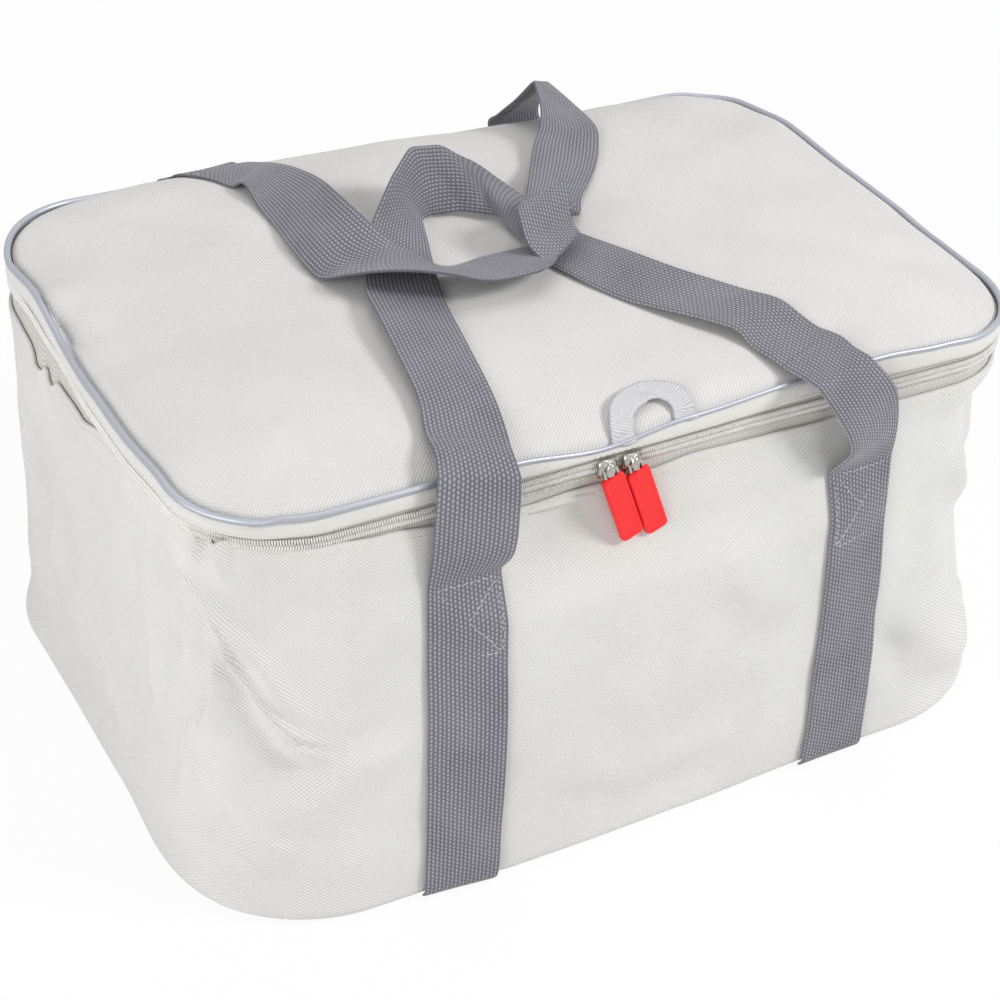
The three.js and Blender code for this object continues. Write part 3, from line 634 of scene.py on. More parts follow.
def stitches(name, lines, length, pitch, width, material):
    """Thread stitches along lines of points, each with its normals: rounded bars lying on the cloth."""
    verts, faces = [], []
    for points, normals in lines:
        run = lengths(points)
        for start in np.arange(pitch * 0.5, run[-1] - length, pitch):
            base = len(verts)
            for share, half, rise in STITCH:
                at = start + length * share
                centre = at_lengths(points, run, at)
                up = at_lengths(normals, run, at)
                up /= np.linalg.norm(up)
                side = np.cross(at_lengths(points, run, at + 0.3) - centre, up)
                side /= np.linalg.norm(side) + 1e-9
                top = centre + up * (STITCH_LIFT + 0.35 * rise * width)
                low = centre + up * (STITCH_LIFT - STITCH_SINK)
                verts.extend([low - side * half * width / 2, top - side * half * width / 4,
                              top + side * half * width / 4, low + side * half * width / 2])
            for a in (base + i * 4 + k for i in range(len(STITCH) - 1) for k in range(3)):
                faces.append([a, a + 1, a + 5, a + 4])
    return make(name, verts, faces, material, outward=False)


def build_tapes():
    """The lower tape, from the teeth down behind the wall's hem, the upper one and the gusset over it."""
    q = ring_places(3.0)
    q = np.concatenate([[-ZIP_END - TAPE_TAIL], q[np.abs(q) <= ZIP_END], [ZIP_END + TAPE_TAIL]])
    hem = WALL_TOP + HEM_WAVE(q)
    edge, normal = wall_surface(q, hem - 1)
    reach = ((edge[:, :2] - seam(q, 0.0)) * normal).sum(-1) - 2.1
    top = ZIP_Z - 0.6 + ZIP_WAVE(q)
    bend = 0.45 * top + 0.55 * hem
    section = [
        (-0.4, top), (0.4 * reach - 0.3, bend), (reach, hem - 1), (reach - 0.2, hem - 8),
        (reach - 1.0, hem - 8), (reach - 0.8, hem - 1), (0.4 * reach - 1.1, bend), (-1.2, top),
    ]
    points = np.array([raised(seam(q, offset), z) for offset, z in section]).transpose(1, 0, 2)
    uv = cloth_grid(q, [0, 4, 8, 12, 13, 17, 21, 25])
    faces = grid_faces(len(q), len(section), wrap_cols=True)
    settle(make("lower_tape", points, faces, TAPE_WITH_PAINTED_SHADE, uv), "bag", "tape", "lower_zip_tape")
    upper = band("upper_tape", q, UPPER_TAPE, TAPE_WITH_PAINTED_SHADE, (ZIP_WAVE, LID_WAVE))
    settle(upper, "lid", "tape", "upper_zip_tape")
    gusset = band("gusset_cloth", q, GUSSET, TRIM, (GUSSET_WAVE, LID_WAVE))
    settle(gusset, "lid", "trim", "lid_gusset")


def build_coils():
    q = np.arange(-ZIP_END + 1, ZIP_END - 1, COIL_PITCH)
    settle(teeth("lower_coil", q, ZIP_Z - 2.6, 0.16), "bag", "coil", "lower_zip_coil")
    settle(teeth("upper_coil", q + COIL_PITCH / 2, ZIP_Z + 0.2, -0.16), "lid", "coil", "upper_zip_coil")
    metal_nodes("zip_stop_left", "zip_stop_right")


def build_zip_stitches():
    q = run_of(-ZIP_END, ZIP_END, 2.0)
    normal = raised(outline(q, SEAM_X, SEAM_Y, SEAM_R)[1], 0.1)
    sewn = raised(seam(q, 1.42), 218.2 + GUSSET_WAVE(q) * 0.85 + LID_WAVE(q) * 0.15)
    row = stitches("gusset_stitches", [(sewn, normal)], 2.5, 3.3, 0.55, PALE_THREAD)
    settle(row, "lid", "thread")
    sewn = raised(seam(q, -0.45), ZIP_Z - 5.6 + ZIP_WAVE(q))
    row = stitches("tape_stitches", [(sewn, normal)], 2.4, 3.2, 0.5, PALE_THREAD)
    settle(row, "bag", "thread")
    q = ring_places(3.0)
    sewn, normal = wall_surface(q, WALL_TOP + HEM_WAVE(q) - 3.2)
    row = stitches("hem_stitches", [(sewn, raised(normal, 0.07))], 2.5, 3.3, 0.55, PALE_THREAD)
    settle(row, "bag", "thread")


def metal_nodes(*names):
    """CAD pieces that keep their shape: rounded edges and a metal finish."""
    for name in names:
        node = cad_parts[name]
        node.data.materials.clear()
        node.data.materials.append(METAL)
        bevel = node.modifiers.new("edges", "BEVEL")
        bevel.width = 0.00025
        bevel.segments = 2
        bevel.limit_method = "ANGLE"


# Lid

# How far the lid's panel ends inside the seam, and half the length of the lid's middle line
LID_MARGIN, LID_MIDDLE = 2.8, 70.0

# How much of the piping stands out of the seam
PIPING_SHARE = table([
    (-150, 1), (-100, 0.85), (-40, 0.6), (60, 0.65), (150, 0.8), (220, 1),
], 1)

# Places where the lid is pressed in or stands up: x, y, size along x, size along y, depth
LID_DENTS = [
    (-220, 34, 2.6, 10, -5), (-213, 58, 8, 10, 2.4), (-208, 32, 5, 14, 2.0), (-212, 8, 9, 10, 1.4),
    (-92, -128, 16, 14, -2.0), (-128, -100, 12, 26, 1.2), (110, -128, 14, 10, -1.5), (30, -140, 20, 6, 1.2),
    (-150, 120, 40, 16, 1.6), (150, 60, 40, 40, 1.5), (-160, -60, 40, 40, 1.0),
]

# How far the lid's padding puffs up along its seam: all round, more at the back, which loses some of it
# to the right, and more on the right side. It fades out this far in.
PUFF, PUFF_BACK, PUFF_LOSS, PUFF_RIGHT, PUFF_REACH = 1.2, 6.5, 2.5, 4.0, 120


def edge_distance(x, y):
    """Distance in from the lid panel's edge."""
    radius = SEAM_R - LID_MARGIN
    over_x = np.abs(x) - (SEAM_X - SEAM_R)
    over_y = np.abs(y) - (SEAM_Y - SEAM_R)
    outside = np.hypot(np.maximum(over_x, 0), np.maximum(over_y, 0))
    return radius - outside - np.minimum(np.maximum(over_x, over_y), 0)


def lid_height(x, y):
    """Height of the plain crowned lid, as in the CAD part."""
    reach = np.clip(edge_distance(x, y) / CROWN_REACH, 0, 1)
    return PIPING_Z + CROWN * (1 - (1 - reach) ** 2)


def seam_place(x, y):
    """The place on the seam straight out from a point of the lid, seen from its middle line."""
    s = np.linspace(LID_MIDDLE, HALF_RING - LID_MIDDLE, 400)
    edge = outline(s, SEAM_X, SEAM_Y, SEAM_R)[0]
    turn = np.arctan2(edge[:, 0] - LID_MIDDLE, -edge[:, 1])
    out = np.interp(np.arctan2(np.maximum(np.abs(x) - LID_MIDDLE, 0), -y), turn, s)
    straight = np.where(y < 0, np.abs(x), HALF_RING - np.abs(x))
    return np.where(x < 0, -1, 1) * np.where(np.abs(x) < LID_MIDDLE, straight, out)


def lid_top(x, y):
    """Height of the lid's cloth: the crown, its wavy edge, the puffed back and soft dents."""
    q = seam_place(x, y)
    inset = np.maximum(edge_distance(x, y) + SEAM_BULGE(q), 0)
    fade = 1 - smooth(inset / PUFF_REACH)
    z = lid_height(x, y) + LID_WAVE(q) * np.exp(-inset / 30) * fade
    back = smooth((np.abs(q) - ZIP_END + 30) / 60) * (PUFF_BACK - PUFF_LOSS * smooth((x + 60) / 120))
    right = PUFF_RIGHT * smooth((q - 220) / 50) * smooth((480 - q) / 60)
    z = z + (PUFF + back + right) * (1 - np.exp(-inset / 5)) * fade
    flat = raised(np.stack([x, y], -1), PIPING_Z)
    z = z + (grain(flat, 80, 4) * 1.4 + grain(flat, 30, 5) * 0.45) * smooth(inset / 12)
    for mark in LID_DENTS:
        z = z + dent(x, y, *mark)
    return z - 1.8 * np.exp(-inset / 1.2)


def lid_places(start, share_rows):
    """Rows of points of the plan, from an offset of the seam in to the lid's middle line."""
    edge = seam(ring_places(4.2), start)
    middle = np.stack([np.clip(edge[:, 0], -LID_MIDDLE, LID_MIDDLE), np.zeros(len(edge))], -1)
    share = np.asarray(share_rows)[:, None, None]
    return edge[None] * (1 - share) + middle[None] * share


def lid_sheet(name, xy, z, material, up):
    points = raised(xy, z)
    sheet = make(name, points, grid_faces(*points.shape[:2]), material, xy, outward=False, merge=True)
    face_up(sheet, len(sheet.data.polygons) // 2, up)
    return sheet


def build_lid():
    """The lid's padded cloth and the lining under it."""
    xy = lid_places(-2.2, np.linspace(0, 1, 58) ** 1.6)
    lid = lid_sheet("lid_cloth", xy, lid_top(xy[..., 0], xy[..., 1]), LID_CLOTH, 1)
    settle(lid, "lid", "fabric", "lid_panel", "lid_foam")

    xy = lid_places(-2.4, np.linspace(0, 1, 30) ** 1.3)
    x, y = xy[..., 0], xy[..., 1]
    inset = np.maximum(edge_distance(x, y), 0)
    z = lid_height(x, y) - PADDING + 5.0 * np.exp(-inset / 5)
    z = z + LID_WAVE(seam_place(x, y)) * np.exp(-inset / 20)
    places = raised(xy, z)
    z = z + (grain(places, 40, 6) * 1.2 + grain(places, 14, 7) * 0.4) * smooth(inset / 15)
    under = lid_sheet("lid_lining", xy, z, LINER, -1)
    settle(under, "lid", "liner", "lid_liner")


def build_piping():
    sides = 12
    q = ring_places(3.0)[:-1]
    radius = PIPING_R * PIPING_SHARE(q)
    rows = []
    for k in range(sides):
        angle = 2 * math.pi * k / sides
        height = PIPING_Z - 0.4 + radius * math.sin(angle) + LID_WAVE(q)
        rows.append(raised(seam(q, 0.3 + radius * math.cos(angle)), height))
    points = np.array(rows).transpose(1, 0, 2)
    faces = grid_faces(len(q), sides, wrap_rows=True, wrap_cols=True)
    pipe = make("piping", points, faces, PIPING, cloth_grid(q, np.arange(float(sides))))
    settle(pipe, "lid", "piping", "lid_piping")


# Inside and hinge strip

# Section of the mouth's binding, which has no wave: offset from the seam, height, share of the wave
LEVEL = table([])
BINDING = [
    (-1.5, 193.6, 1), (-1.4, 196.0, 1), (-2.4, 197.0, 1), (-5.0, 197.4, 1), (-7.6, 197.0, 1),
    (-8.8, 195.6, 1), (-9.1, 192.5, 1), (-9.0, 188.0, 1), (-8.5, 188.0, 1), (-8.0, 193.6, 1),
]

# Half the hinge strip's width, and its section: y, z and the length of cloth round it
STRIP_HALF = 167
STRIP = [
    (151.0, 194, 0), (151.2, 204, 10), (151.5, 214, 20), (151.4, 219, 25), (151.2, 224.2, 30),
    (152.6, 224.2, 31), (152.7, 219, 36), (152.7, 214, 41), (152.6, 204, 51), (152.2, 194, 61),
]


def build_liner():
    q = ring_places(6.0)[:-1]
    half_x, half_y, radius = wall_size(np.full(q.shape, FLOOR_TOP))
    floor = outline(q, half_x - 10, half_y - 10, radius - 10)[0]
    rows = [raised(floor * share, FLOOR_TOP + 0.2) for share in (0.02, 0.3, 0.6, 0.9)]
    for z in np.concatenate([[9.4, 10.5, 14.0], np.linspace(20, 193, 30)]):
        half_x, half_y, radius = wall_size(np.full(q.shape, z))
        inward = PADDING + 3.0 * math.exp(-(z - FLOOR_TOP) / 3)
        xy, normal = outline(q, half_x - inward, half_y - inward, radius - inward)
        place = raised(xy + normal * spread(q, z)[:, None], z)
        fold = np.abs(grain(place, 45, 8) * 1.8 + grain(place, 15, 9) * 0.5)
        fold = fold * smooth((z - FLOOR_TOP) / 20) * smooth((197 - z) / 20)
        place[:, :2] -= normal * fold[:, None]
        rows.append(place)
    points = np.array(rows)
    count, size = points.shape[:2]
    uv = np.stack([np.broadcast_to(q, (count, size)), points[..., 2]], -1)
    faces = grid_faces(count, size, wrap_cols=True)
    faces.append(list(range(size)))
    tub = make("liner_cloth", points, faces, LINER, uv, outward=False)
    face_up(tub, 0, 1)
    settle(tub, "bag", "liner", "liner_tub")


def build_mouth_trim():
    edge = band("mouth_trim", ring_places(4.0)[:-1], BINDING, TRIM, (LEVEL, LEVEL), closed_ring=True)
    settle(edge, "bag", "trim", "mouth_binding")


def build_hinge_strip():
    x = np.linspace(-STRIP_HALF, STRIP_HALF, 85)
    wave = LID_WAVE(np.where(x < 0, -1, 1) * (HALF_RING - np.abs(x)))
    rows = []
    for y, z, _ in STRIP:
        sway = 0.4 * np.sin(x / 19.0) * math.sin(math.pi * (z - STRIP[0][1]) / 29)
        rows.append(np.stack([x, y + sway, z + wave * smooth((z - WALL_TOP) / 22)], -1))
    points = np.array(rows).transpose(1, 0, 2)
    uv = cloth_grid(x, [around for _, _, around in STRIP])
    strip = make("hinge_cloth", points, tube_faces(len(x), len(STRIP)), FABRIC, uv)
    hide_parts("rear_hinge_strip")
    # The lid's edge dips to the right, so the bend of the strip is tilted with it
    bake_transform(strip)


# Handles

# Each handle from its left foot to its right one, in stretches that meet at sharp creases. A stretch
# starts at the last station of the one before. A station gives one edge and then the other, each as x,
# y and the height over the plain lid. A foot with no y lies on the wall.
FRONT = [
    [
        (-125, None, -52, -87, None, -52), (-124, -160, -34, -85, -166, -38),
        (-124, -161, -8, -85, -168, -9), (-122, -158, 8, -85, -167, 3),
    ],
    [
        (-119, -149, 13, -82, -154, 7), (-114, -130, 7, -77, -139, 5),
        (-108, -112, 7, -72, -120, 3), (-101, -73, 8, -64, -76, 3), (-96, -46, 9, -59, -51, 3),
        (-89, -18, 8, -51, -24, 3), (-79, 1, 12, -43, -1, 3), (-69, 14, 20, -36, 17, 3),
        (-59, 23, 28, -31, 31, 3), (-49, 33, 33, -28, 38, 2), (-39, 43, 35, -22, 41, 2),
    ],
    [(-28, 54, 35, -14, 39, 2), (-20, 57, 33, -6, 36, 3)],
    [
        (-9, 55, 32, 5, 27, 3), (-3, 52, 28, 9, 23, 3), (6, 47, 23, 8, 15, 3),
        (16, 39, 15, 7, 4, 3), (25, 27, 9, 7, -6, 3), (32, 11, 5, 7, -18, 2), (37, -6, 3, 10, -32, 2),
        (51, -43, 6, 23, -68, 2), (66, -66, 4, 35, -88, 4), (82, -87, 4, 49, -106, 7),
        (94, -104, 6, 59, -119, 8), (98, -116, 5, 62, -128, 5), (101, -126, 5, 65, -139, 7),
        (105, -142, 11, 69, -154, 9), (106, -162, 14, 70, -171, 10),
    ],
    [
        (119, -167, -2, 82, -170, -6), (129, -162, -21, 93, -172, -24),
        (132, -160, -35, 97, -170, -35), (133, None, -52, 95, None, -52),
    ],
]
BACK = [
    [
        (-125, None, -52, -87, None, -52), (-125, 163, -25, -87, 163, -25),
        (-124, 160, -4, -86, 160, -3), (-123, 152, 3, -84, 150, 6), (-115, 132, 6, -81, 146, 6),
        (-108, 120, 4, -77, 141, 7), (-104, 110, 2, -74, 134, 8),
    ],
    [
        (-100, 102, 10, -73, 127, 9), (-100, 80, 5, -69, 100, 13),
        (-100, 63, 3, -68, 80, 16), (-102, 35, 3, -72, 46, 23), (-103, 16, 3, -72, 23, 24),
        (-102, 4, 3, -69, 13, 21), (-95, -15, 13, -61, 2, 13), (-84, -27, 19, -54, -5, 10),
        (-72, -37, 22, -48, -12, 7), (-59, -44, 21, -40, -15, 5), (-38, -50, 15, -22, -16, 7),
        (-15, -50, 14, -3, -15, 7), (-8, -49, 14, 11, -17, 9), (-1, -43, 11, 30, -20, 11),
    ],
    [(-4, -27, 15, 30, -11, 14), (-2, -14, 22, 33, -1, 23), (1, -6, 23, 37, 8, 26)],
    [
        (7, 1, 22, 42, 14, 16), (13, 8, 10, 45, 6, 6), (26, 28, 9, 58, 25, 3),
        (36, 43, 10, 73, 41, 3), (50, 65, 6, 87, 58, 3), (61, 81, 8, 98, 75, 3), (69, 90, 12, 106, 91, 5),
        (77, 103, 20, 108, 121, 11), (79, 115, 30, 103, 140, 20),
    ],
    [
        (77, 130, 16, 108, 152, 13), (76, 145, 6, 111, 160, 4),
        (76, 157, -3, 113, 164, -8), (84, 164, -21, 122, 166, -24), (91, 162, -42, 129, 163, -42),
        (95, None, -52, 133, None, -52),
    ],
]

# Where a handle's middle piece starts, where its legs are, and how far a front leg's foot is to the left
CUT_Y, LEG_Y, LEG_LEAN = 141.0, 140.0, 5.2

# Across the webbing: shares of its half width, and half its thickness there. RING_STEP is the distance
# of its rings, LID_GAP the least gap to the lid, and RIPPLE and RIPPLE_RUN the waviness of its edges.
RING_STEP, LID_GAP, RIPPLE, RIPPLE_RUN = 2.2, 0.4, 0.25, 9.0
WEB_SHARES = np.array([-1, -0.985, -0.94, -0.8, -0.5, -0.2, 0.2, 0.5, 0.8, 0.94, 0.985, 1])
WEB_THICK = WEBBING / 2 * np.array([0.15, 0.6, 0.95, 1, 1, 1, 1, 1, 1, 0.95, 0.6, 0.15])


def on_wall(x, z, side):
    """Where the middle of webbing is in y if it lies on the front or back wall."""
    q = x if side < 0 else np.where(x < 0, -1, 1) * HALF_RING - x
    return wall_surface(q, z)[0][..., 1] + side * (WEB_GAP + WEBBING / 2)


def leg_lean(z, side):
    """How far a front leg's lower end stands to the left of its upper one."""
    return -LEG_LEAN * (1 - np.clip(z / STITCH_TOP, 0, 1)) if side < 0 else np.zeros(np.shape(z))


def through(rows, at):
    """A centripetal curve through rows, read at row numbers."""
    rows = np.concatenate([[2 * rows[0] - rows[1]], rows, [2 * rows[-1] - rows[-2]]])
    i = np.clip(np.floor(at).astype(int), 0, len(rows) - 4)
    t = (at - i)[:, None]
    p = [rows[i + k] for k in range(4)]
    d = [np.maximum(np.linalg.norm(p[k + 1] - p[k], axis=1), 1e-6)[:, None] ** 0.5 for k in range(3)]
    lead = (p[1] - p[0]) / d[0] - (p[2] - p[0]) / (d[0] + d[1]) + (p[2] - p[1]) / d[1]
    tail = (p[2] - p[1]) / d[1] - (p[3] - p[1]) / (d[1] + d[2]) + (p[3] - p[2]) / d[2]
    lead, tail = lead * d[1], tail * d[1]
    a = 2 * p[1] - 2 * p[2] + lead + tail
    b = -3 * p[1] + 3 * p[2] - 2 * lead - tail
    return a * t ** 3 + b * t ** 2 + lead * t + p[1]


def free_run(stretches, side):
    """Both edges of a handle between its feet, finely stepped."""
    edges = ([], [])
    rows = []
    for stretch in stretches:
        rows = rows[-1:]
        for x1, y1, up1, x2, y2, up2 in stretch:
            if y1 is None:
                y1 = on_wall(x1, PIPING_Z + up1, side)
                y2 = on_wall(x2, PIPING_Z + up2, side)
            rows.append((x1, y1, up1, x2, y2, up2))
        line = through(np.array(rows, float), np.linspace(0, len(rows) - 1, 40 * len(rows)))
        for edge, (x, y, up) in zip(edges, (line[:, :3].T, line[:, 3:].T)):
            edge.append(np.stack([x, y, lid_height(x, y) + up], -1))
    return [np.concatenate(edge) for edge in edges]


def sewn_run(x, side, across):
    """The same for a sewn leg, from its lower end up, on the swell of the wall."""
    z = np.concatenate([[2.0, 4.0, 6.0, 8.0], np.arange(12, STITCH_TOP - 1, 4.0)])
    edges = []
    for reach in (across * WEB_WIDTH / 2, -across * WEB_WIDTH / 2):
        place = x + reach + leg_lean(z, side)
        edges.append(np.stack([place, on_wall(place, z, side), z], -1))
    return edges


def off_wall(middle, side):
    """Where points of webbing are in y once they are out of the front or back wall."""
    x, y, z = np.moveaxis(middle, -1, 0)
    low = (z < WALL_TOP) & (side * y > LEG_Y)
    wall = on_wall(x, np.clip(z, 0, WALL_TOP), side)
    return np.where(low, side * np.maximum(side * y, side * wall), y)


def strap_rings(first, second, side, seed):
    """Rings of points of webbing between two edges, and each ring's place along it."""
    centre = (first + second) / 2
    run = lengths(centre)
    even = run_of(0, run[-1], RING_STEP)
    first = at_lengths(first, run, even)
    second = at_lengths(second, run, even)
    middle = (first + second)[:, None] / 2 + (first - second)[:, None] / 2 * WEB_SHARES[None, :, None]
    above = lid_top(middle[..., 0], middle[..., 1]) + WEBBING / 2 + LID_GAP
    inside = edge_distance(middle[..., 0], middle[..., 1]) > -4
    over = inside & (middle[..., 2] > PIPING_Z - 3)
    middle[..., 2] = np.where(over, np.maximum(middle[..., 2], above), middle[..., 2])
    middle[..., 1] = off_wall(middle, side)
    face = np.cross(np.gradient(middle, axis=0), np.broadcast_to((first - second)[:, None], middle.shape))
    face /= np.linalg.norm(face, axis=-1)[..., None]
    ripple = RIPPLE * np.sin(even[:, None] / RIPPLE_RUN + seed) * WEB_SHARES[None, :] ** 2
    top = middle + face * (WEB_THICK[None, :] + ripple)[..., None]
    low = middle + face * (ripple - WEB_THICK[None, :])[..., None]
    return np.concatenate([top, low[:, ::-1]], axis=1), even


def strap_piece(name, rings, run):
    wide = np.concatenate([WEB_SHARES, WEB_SHARES[::-1]]) * WEB_WIDTH / 2 + WEB_WIDTH
    strap = make(name, rings, tube_faces(*rings.shape[:2]), WEB, cloth_grid(run, wide))
    for end in strap.data.polygons[-2:]:
        end.use_smooth = False
    return strap


def box_stitches(name, x, side, node):
    """A sewn box with a cross in it on a strap's leg, in lines that wobble a little."""
    half, low, high = 16.0, STITCH_TOP - 38.0, STITCH_TOP - 2.0
    corners = [(-half, low), (half, low), (half, high), (-half, high)]
    lines = []
    for k, (first, last) in enumerate(((0, 1), (1, 2), (2, 3), (3, 0), (0, 2), (1, 3))):
        share = np.linspace(0, 1, 16)
        across, z = (a + (b - a) * share for a, b in zip(corners[first], corners[last]))
        wobble = 0.35 * np.sin(share * 21 + k * 1.7 + x)
        place = x + across + leg_lean(z, side)
        y = on_wall(place, z, side) + side * WEBBING / 2
        points = np.stack([place + wobble, y, z + 0.3 * wobble], -1)
        lines.append((points, np.tile([0, float(side), 0.06], (len(share), 1))))
    settle(stitches(name, lines, 2.3, 3.3, 0.5, THREAD), "bag", "thread", node)


def build_handle(name, stretches, side, across, seed):
    """One length of webbing in three pieces, and the stitching on its legs."""
    legs = [sewn_run(x, side, turn) for x, turn in zip(STRAP_X, across)]
    free = free_run(stretches, side)
    edges = [np.concatenate([legs[0][k], free[k], legs[1][k][::-1]]) for k in range(2)]
    rings, run = strap_rings(*edges, side, seed)
    on_lid = np.nonzero(side * rings.mean(axis=1)[:, 1] < CUT_Y)[0]
    start, end = on_lid[0], on_lid[-1]
    for part, first, last in (("left", 0, start), ("middle", start, end), ("right", end, len(run) - 1)):
        piece = strap_piece(f"{name}_strap_{part}", rings[first:last + 1], run[first:last + 1])
        if part == "middle":
            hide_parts(f"{name}_loop")
            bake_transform(piece)
        else:
            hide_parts(f"{name}_leg_{part}", f"{name}_fold_{part}")
            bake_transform(piece)
    for part, x in zip(("left", "right"), STRAP_X):
        box_stitches(f"{name}_box_{part}", x, side, f"{name}_stitch_{part}")


# Lift loop

# Middle of the loop's ribbon: x, y and height over the lid
LOOP = [
    (-23, -154, 0.4), (-21, -147, 2.0), (-17, -140.5, 3.0), (-8, -136.5, 2.6), (4, -137, 2.2),
    (9.5, -141, 2.0), (11.5, -147.5, 1.5), (10.5, -153.5, 0.4),
]
RIBBON_HALF, RIBBON_THICK = 5.6, 0.9

# Where the ribbon is crumpled: shares of its length
CRUMPLE_AT, CRUMPLE_REACH = 0.55, 0.13


def build_lift_loop():
    rows = through(np.array(LOOP, float), np.linspace(0, len(LOOP) - 1, 110))
    run = lengths(rows)
    even = run_of(0, run[-1], 0.8)
    rows = at_lengths(rows, run, even)
    ahead = np.gradient(rows[:, :2], axis=0)
    ahead /= np.linalg.norm(ahead, axis=1)[:, None]
    out = np.stack([-ahead[:, 1], ahead[:, 0]], -1)
    shares = np.linspace(-1, 1, 11)
    crumple = np.exp(-((even / even[-1] - CRUMPLE_AT) / CRUMPLE_REACH) ** 2)
    half = RIBBON_HALF - 0.4 * crumple
    flat = rows[:, None, :2] + out[:, None] * (half[:, None] * shares[None])[..., None]
    pleat = 0.5 * np.cos(shares[None] * 4 + even[:, None] * 0.3) + 0.2 * np.sin(even * 0.9)[:, None]
    z = lid_top(flat[..., 0], flat[..., 1]) + rows[:, None, 2] + 0.7 + crumple[:, None] * (pleat + 0.6)
    z = z + 0.5 * shares[None] ** 2
    top = np.concatenate([flat, z[..., None]], -1)
    low = top - np.array([0, 0, RIBBON_THICK])
    points = np.concatenate([top, low[:, ::-1]], axis=1)
    wide = np.concatenate([shares, shares[::-1]]) * RIBBON_HALF + 9
    faces = tube_faces(*points.shape[:2])
    loop = make("lift_ribbon", points, faces, RIBBON, cloth_grid(even, wide))
    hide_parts("lift_loop")
    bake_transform(loop)


# Sliders and pulls

# A pull in its own frame, hanging down from its link
PULL_WIDTH, PULL_TOP, PULL_LOW, PULL_CORNER = 12.0, -3.7, -41.7, 2.4
PULL_THICK, PULL_EDGE, PULL_RIM = 3.6, 1.0, 1.4
SLIDER_Y, PULL_Y = -152.0, -158.05

# The slider's plate: half sizes, and how far each level stands out
PLATE = [
    (4.9, 4.4, 0.0), (5.0, 4.5, 0.3), (5.0, 4.5, 1.0), (4.8, 4.4, 1.6), (4.3, 4.2, 2.1), (3.5, 4.0, 2.4),
]
PLATE_BACK, SLIDER_SIDES = 2.9, 36


def pull_outline(inset):
    """The pull's rounded outline, drawn in by inset."""
    half, low, high = PULL_WIDTH / 2 - inset, PULL_LOW + inset, PULL_TOP - inset
    r = max(PULL_CORNER - inset, 0.4)
    corners = [(half - r, high - r), (r - half, high - r), (r - half, low + r), (half - r, low + r)]
    points = []
    for k, (x, z) in enumerate(corners):
        for step in range(7):
            angle = math.radians(90 * k + 15 * step)
            points.append((x + r * math.cos(angle), z + r * math.sin(angle)))
    return np.array(points)


def rubber_pull(name):
    """A flat rounded tab with soft edges and a sunk face on both sides."""
    half, edge, rim = PULL_THICK / 2, PULL_EDGE, PULL_RIM
    front = [
        (rim + 1.0, half - 0.35), (rim + 0.4, half - 0.3), (rim, half), (edge, half),
        (edge * 0.35, half - edge * 0.3), (0, half - edge),
    ]
    rings = []
    for inset, y in [(inset, -y) for inset, y in front] + front[::-1]:
        flat = pull_outline(inset)
        rings.append(np.stack([flat[:, 0], np.full(len(flat), y), flat[:, 1]], -1))
    points = np.array(rings)
    return make(name, points, tube_faces(*points.shape[:2]), RUBBER)


def slider_face(name, fullness):
    """The polished front of a slider: a plate and a bridge over the link, from boxy to domed."""
    levels = list(PLATE)
    for t in np.sin(np.linspace(0, math.pi / 2, 12)):
        share = max((1 - t ** (2 * fullness)) ** 0.5, 0.05)
        levels.append((2.7 * share, 3.9 * share, 2.5 + 3.0 * t))
    turn = 2 * np.pi * np.arange(SLIDER_SIDES) / SLIDER_SIDES
    rings = []
    for half_x, half_z, out in levels:
        power = 0.55 if out < 1.5 else 1.0
        x = np.sign(np.cos(turn)) * np.abs(np.cos(turn)) ** power
        z = np.sign(np.sin(turn)) * np.abs(np.sin(turn)) ** power
        rings.append(np.stack([half_x * x, np.full(SLIDER_SIDES, -PLATE_BACK - out), half_z * z], -1))
    return make(name, np.array(rings), tube_faces(len(rings), SLIDER_SIDES), METAL)


def build_sliders():
    lean = math.atan2(BASE_Y - SEAM_Y - HEM, WALL_TOP)
    turn = Matrix.Rotation(-lean, 4, "X") @ Matrix.Rotation(-math.radians(PULL_TILT), 4, "Y")
    for end, side, fullness in (("left", -1, 2.0), ("right", 1, 1.0)):
        x = MEETING_X + side * SLIDER_SPACING / 2
        metal_nodes(f"{end}_slider", f"{end}_pull_link")
        front = slider_face(f"{end}_slider_face", fullness)
        front.matrix_world = Matrix.Translation(Vector((x, SLIDER_Y, ZIP_Z)) * MM)
        settle(front, f"slider_{end}", "metal")
        tab = rubber_pull(f"{end}_rubber_pull")
        tab.matrix_world = Matrix.Translation(Vector((x, PULL_Y, ZIP_Z)) * MM) @ turn
        settle(tab, f"pull_{end}", "rubber", f"{end}_pull_tab")


# Stage

# The camera that was fitted to the photo: its angles, place in metres, and focal length in picture widths
AZIMUTH, ELEVATION, ROLL = math.radians(-30.94), math.radians(35.05), math.radians(3.5)
CAMERA_PLACE = (-0.535365, -0.901255, 0.820299)
FOCAL, SENSOR = 2383.19 / 1000, 36

# Area lights: place and size in metres, power in watts
LIGHTS = {
    "key": ((1.7, -1.5, 1.9), 0.7, 43.0),
    "fill": ((-2.3, -0.7, 1.0), 1.6, 29.0),
    "top": ((0.3, 0.5, 2.4), 1.6, 11.0),
}
LIT_PLACE = Vector((0, 0, 0.1))
AMBIENT, FLOOR_GLOW = 0.4, 0.93
FLOOR_REACH, FLOOR_Z = 6.0, -0.0005
WHITE = (1, 1, 1, 1)


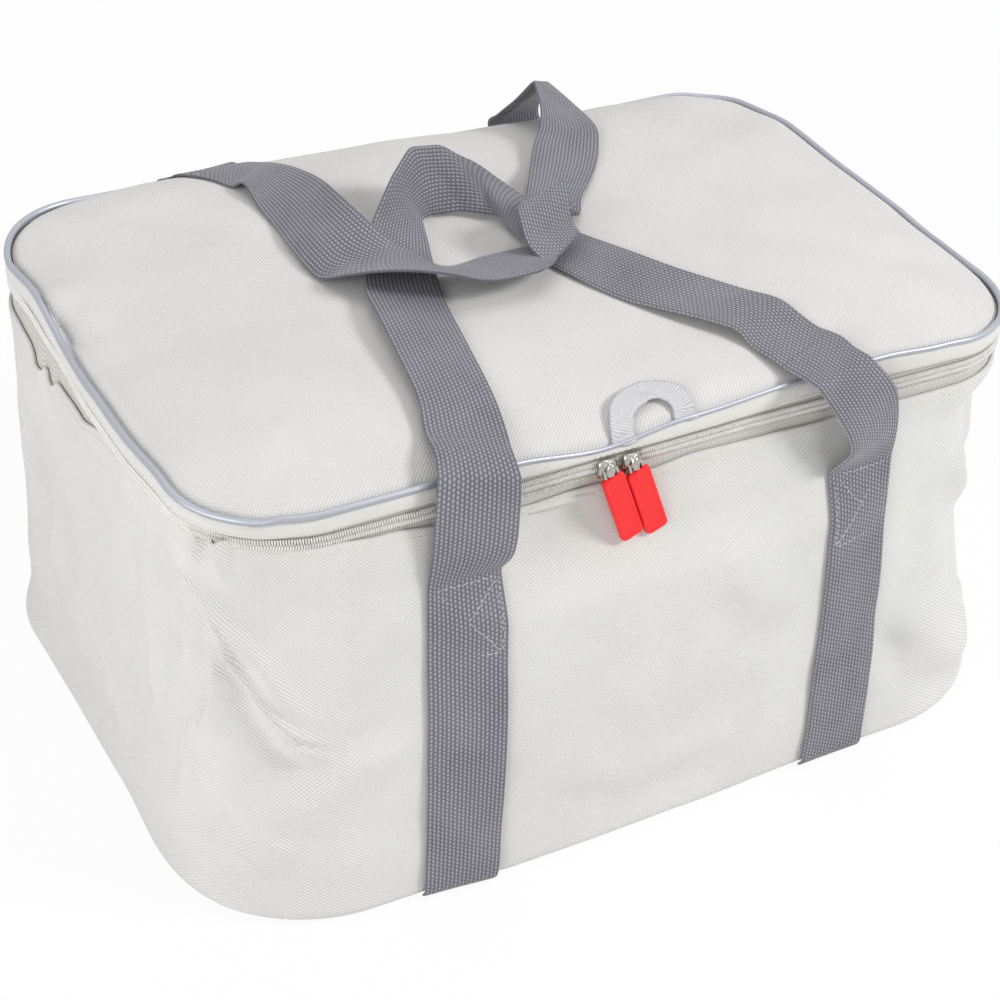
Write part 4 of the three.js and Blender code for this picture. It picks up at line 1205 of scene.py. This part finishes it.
def build_camera():
    level = math.cos(ELEVATION)
    back = Vector((math.sin(AZIMUTH) * level, -math.cos(AZIMUTH) * level, math.sin(ELEVATION)))
    right = Vector((math.cos(AZIMUTH), math.sin(AZIMUTH), 0))
    up = back.cross(right)
    right_rolled = math.cos(ROLL) * right + math.sin(ROLL) * up
    up_rolled = -math.sin(ROLL) * right + math.cos(ROLL) * up
    camera = bpy.data.objects.new("camera", bpy.data.cameras.new("camera"))
    bpy.context.collection.objects.link(camera)
    camera.data.sensor_width = SENSOR
    camera.data.lens = FOCAL * SENSOR
    camera.data.clip_end = 50
    turn = Matrix((right_rolled, up_rolled, back)).transposed().to_4x4()
    camera.matrix_world = Matrix.Translation(Vector(CAMERA_PLACE)) @ turn
    bpy.context.scene.camera = camera
    bpy.context.scene.view_settings.view_transform = "Standard"


def build_lights():
    """Three area lights in dim surroundings that look white to the camera and in reflections."""
    n = Nodes(bpy.data.worlds.new("studio"), "ShaderNodeOutputWorld")
    rays = n.add("ShaderNodeLightPath").outputs
    seen = n.math("MAXIMUM", rays["Is Camera Ray"], rays["Is Glossy Ray"])
    ambient = n.shader("ShaderNodeBackground", Color=WHITE, Strength=AMBIENT)
    white = n.shader("ShaderNodeBackground", Color=WHITE, Strength=1.0)
    bpy.context.scene.world = n.show(n.mixed(seen, ambient, white))
    for name, (place, size, power) in LIGHTS.items():
        light = bpy.data.objects.new(name, bpy.data.lights.new(name, "AREA"))
        light.data.size = size
        light.data.energy = power
        light.location = place
        light.rotation_euler = (LIT_PLACE - Vector(place)).to_track_quat("-Z", "Y").to_euler()
        bpy.context.collection.objects.link(light)


def build_floor():
    """A floor that fades into the white behind it and still takes a faint shadow."""
    n = Nodes(bpy.data.materials.new("floor"))
    diffuse = n.shader("ShaderNodeBsdfDiffuse", Color=(0.92, 0.92, 0.92, 1))
    glow = n.shader("ShaderNodeEmission", Color=WHITE, Strength=1.0)
    rays = n.add("ShaderNodeLightPath").outputs
    n.show(n.mixed(n.math("MULTIPLY", rays["Is Camera Ray"], FLOOR_GLOW), diffuse, glow))
    mesh = bpy.data.meshes.new("floor")
    sides = ((-1, -1), (1, -1), (1, 1), (-1, 1))
    corners = [(x * FLOOR_REACH, y * FLOOR_REACH, FLOOR_Z) for x, y in sides]
    mesh.from_pydata(corners, [], [(0, 1, 2, 3)])
    mesh.materials.append(n.owner)
    floor = bpy.data.objects.new("floor", mesh)
    bpy.context.collection.objects.link(floor)


build_camera()
build_lights()
build_floor()
build_wall()
build_base()
build_tapes()
build_coils()
build_zip_stitches()
build_lid()
build_piping()
build_liner()
build_mouth_trim()
build_hinge_strip()
build_handle("front", FRONT, -1, (-1, 1), 1)
build_handle("back", BACK, 1, (-1, -1), 4)
build_lift_loop()
build_sliders()
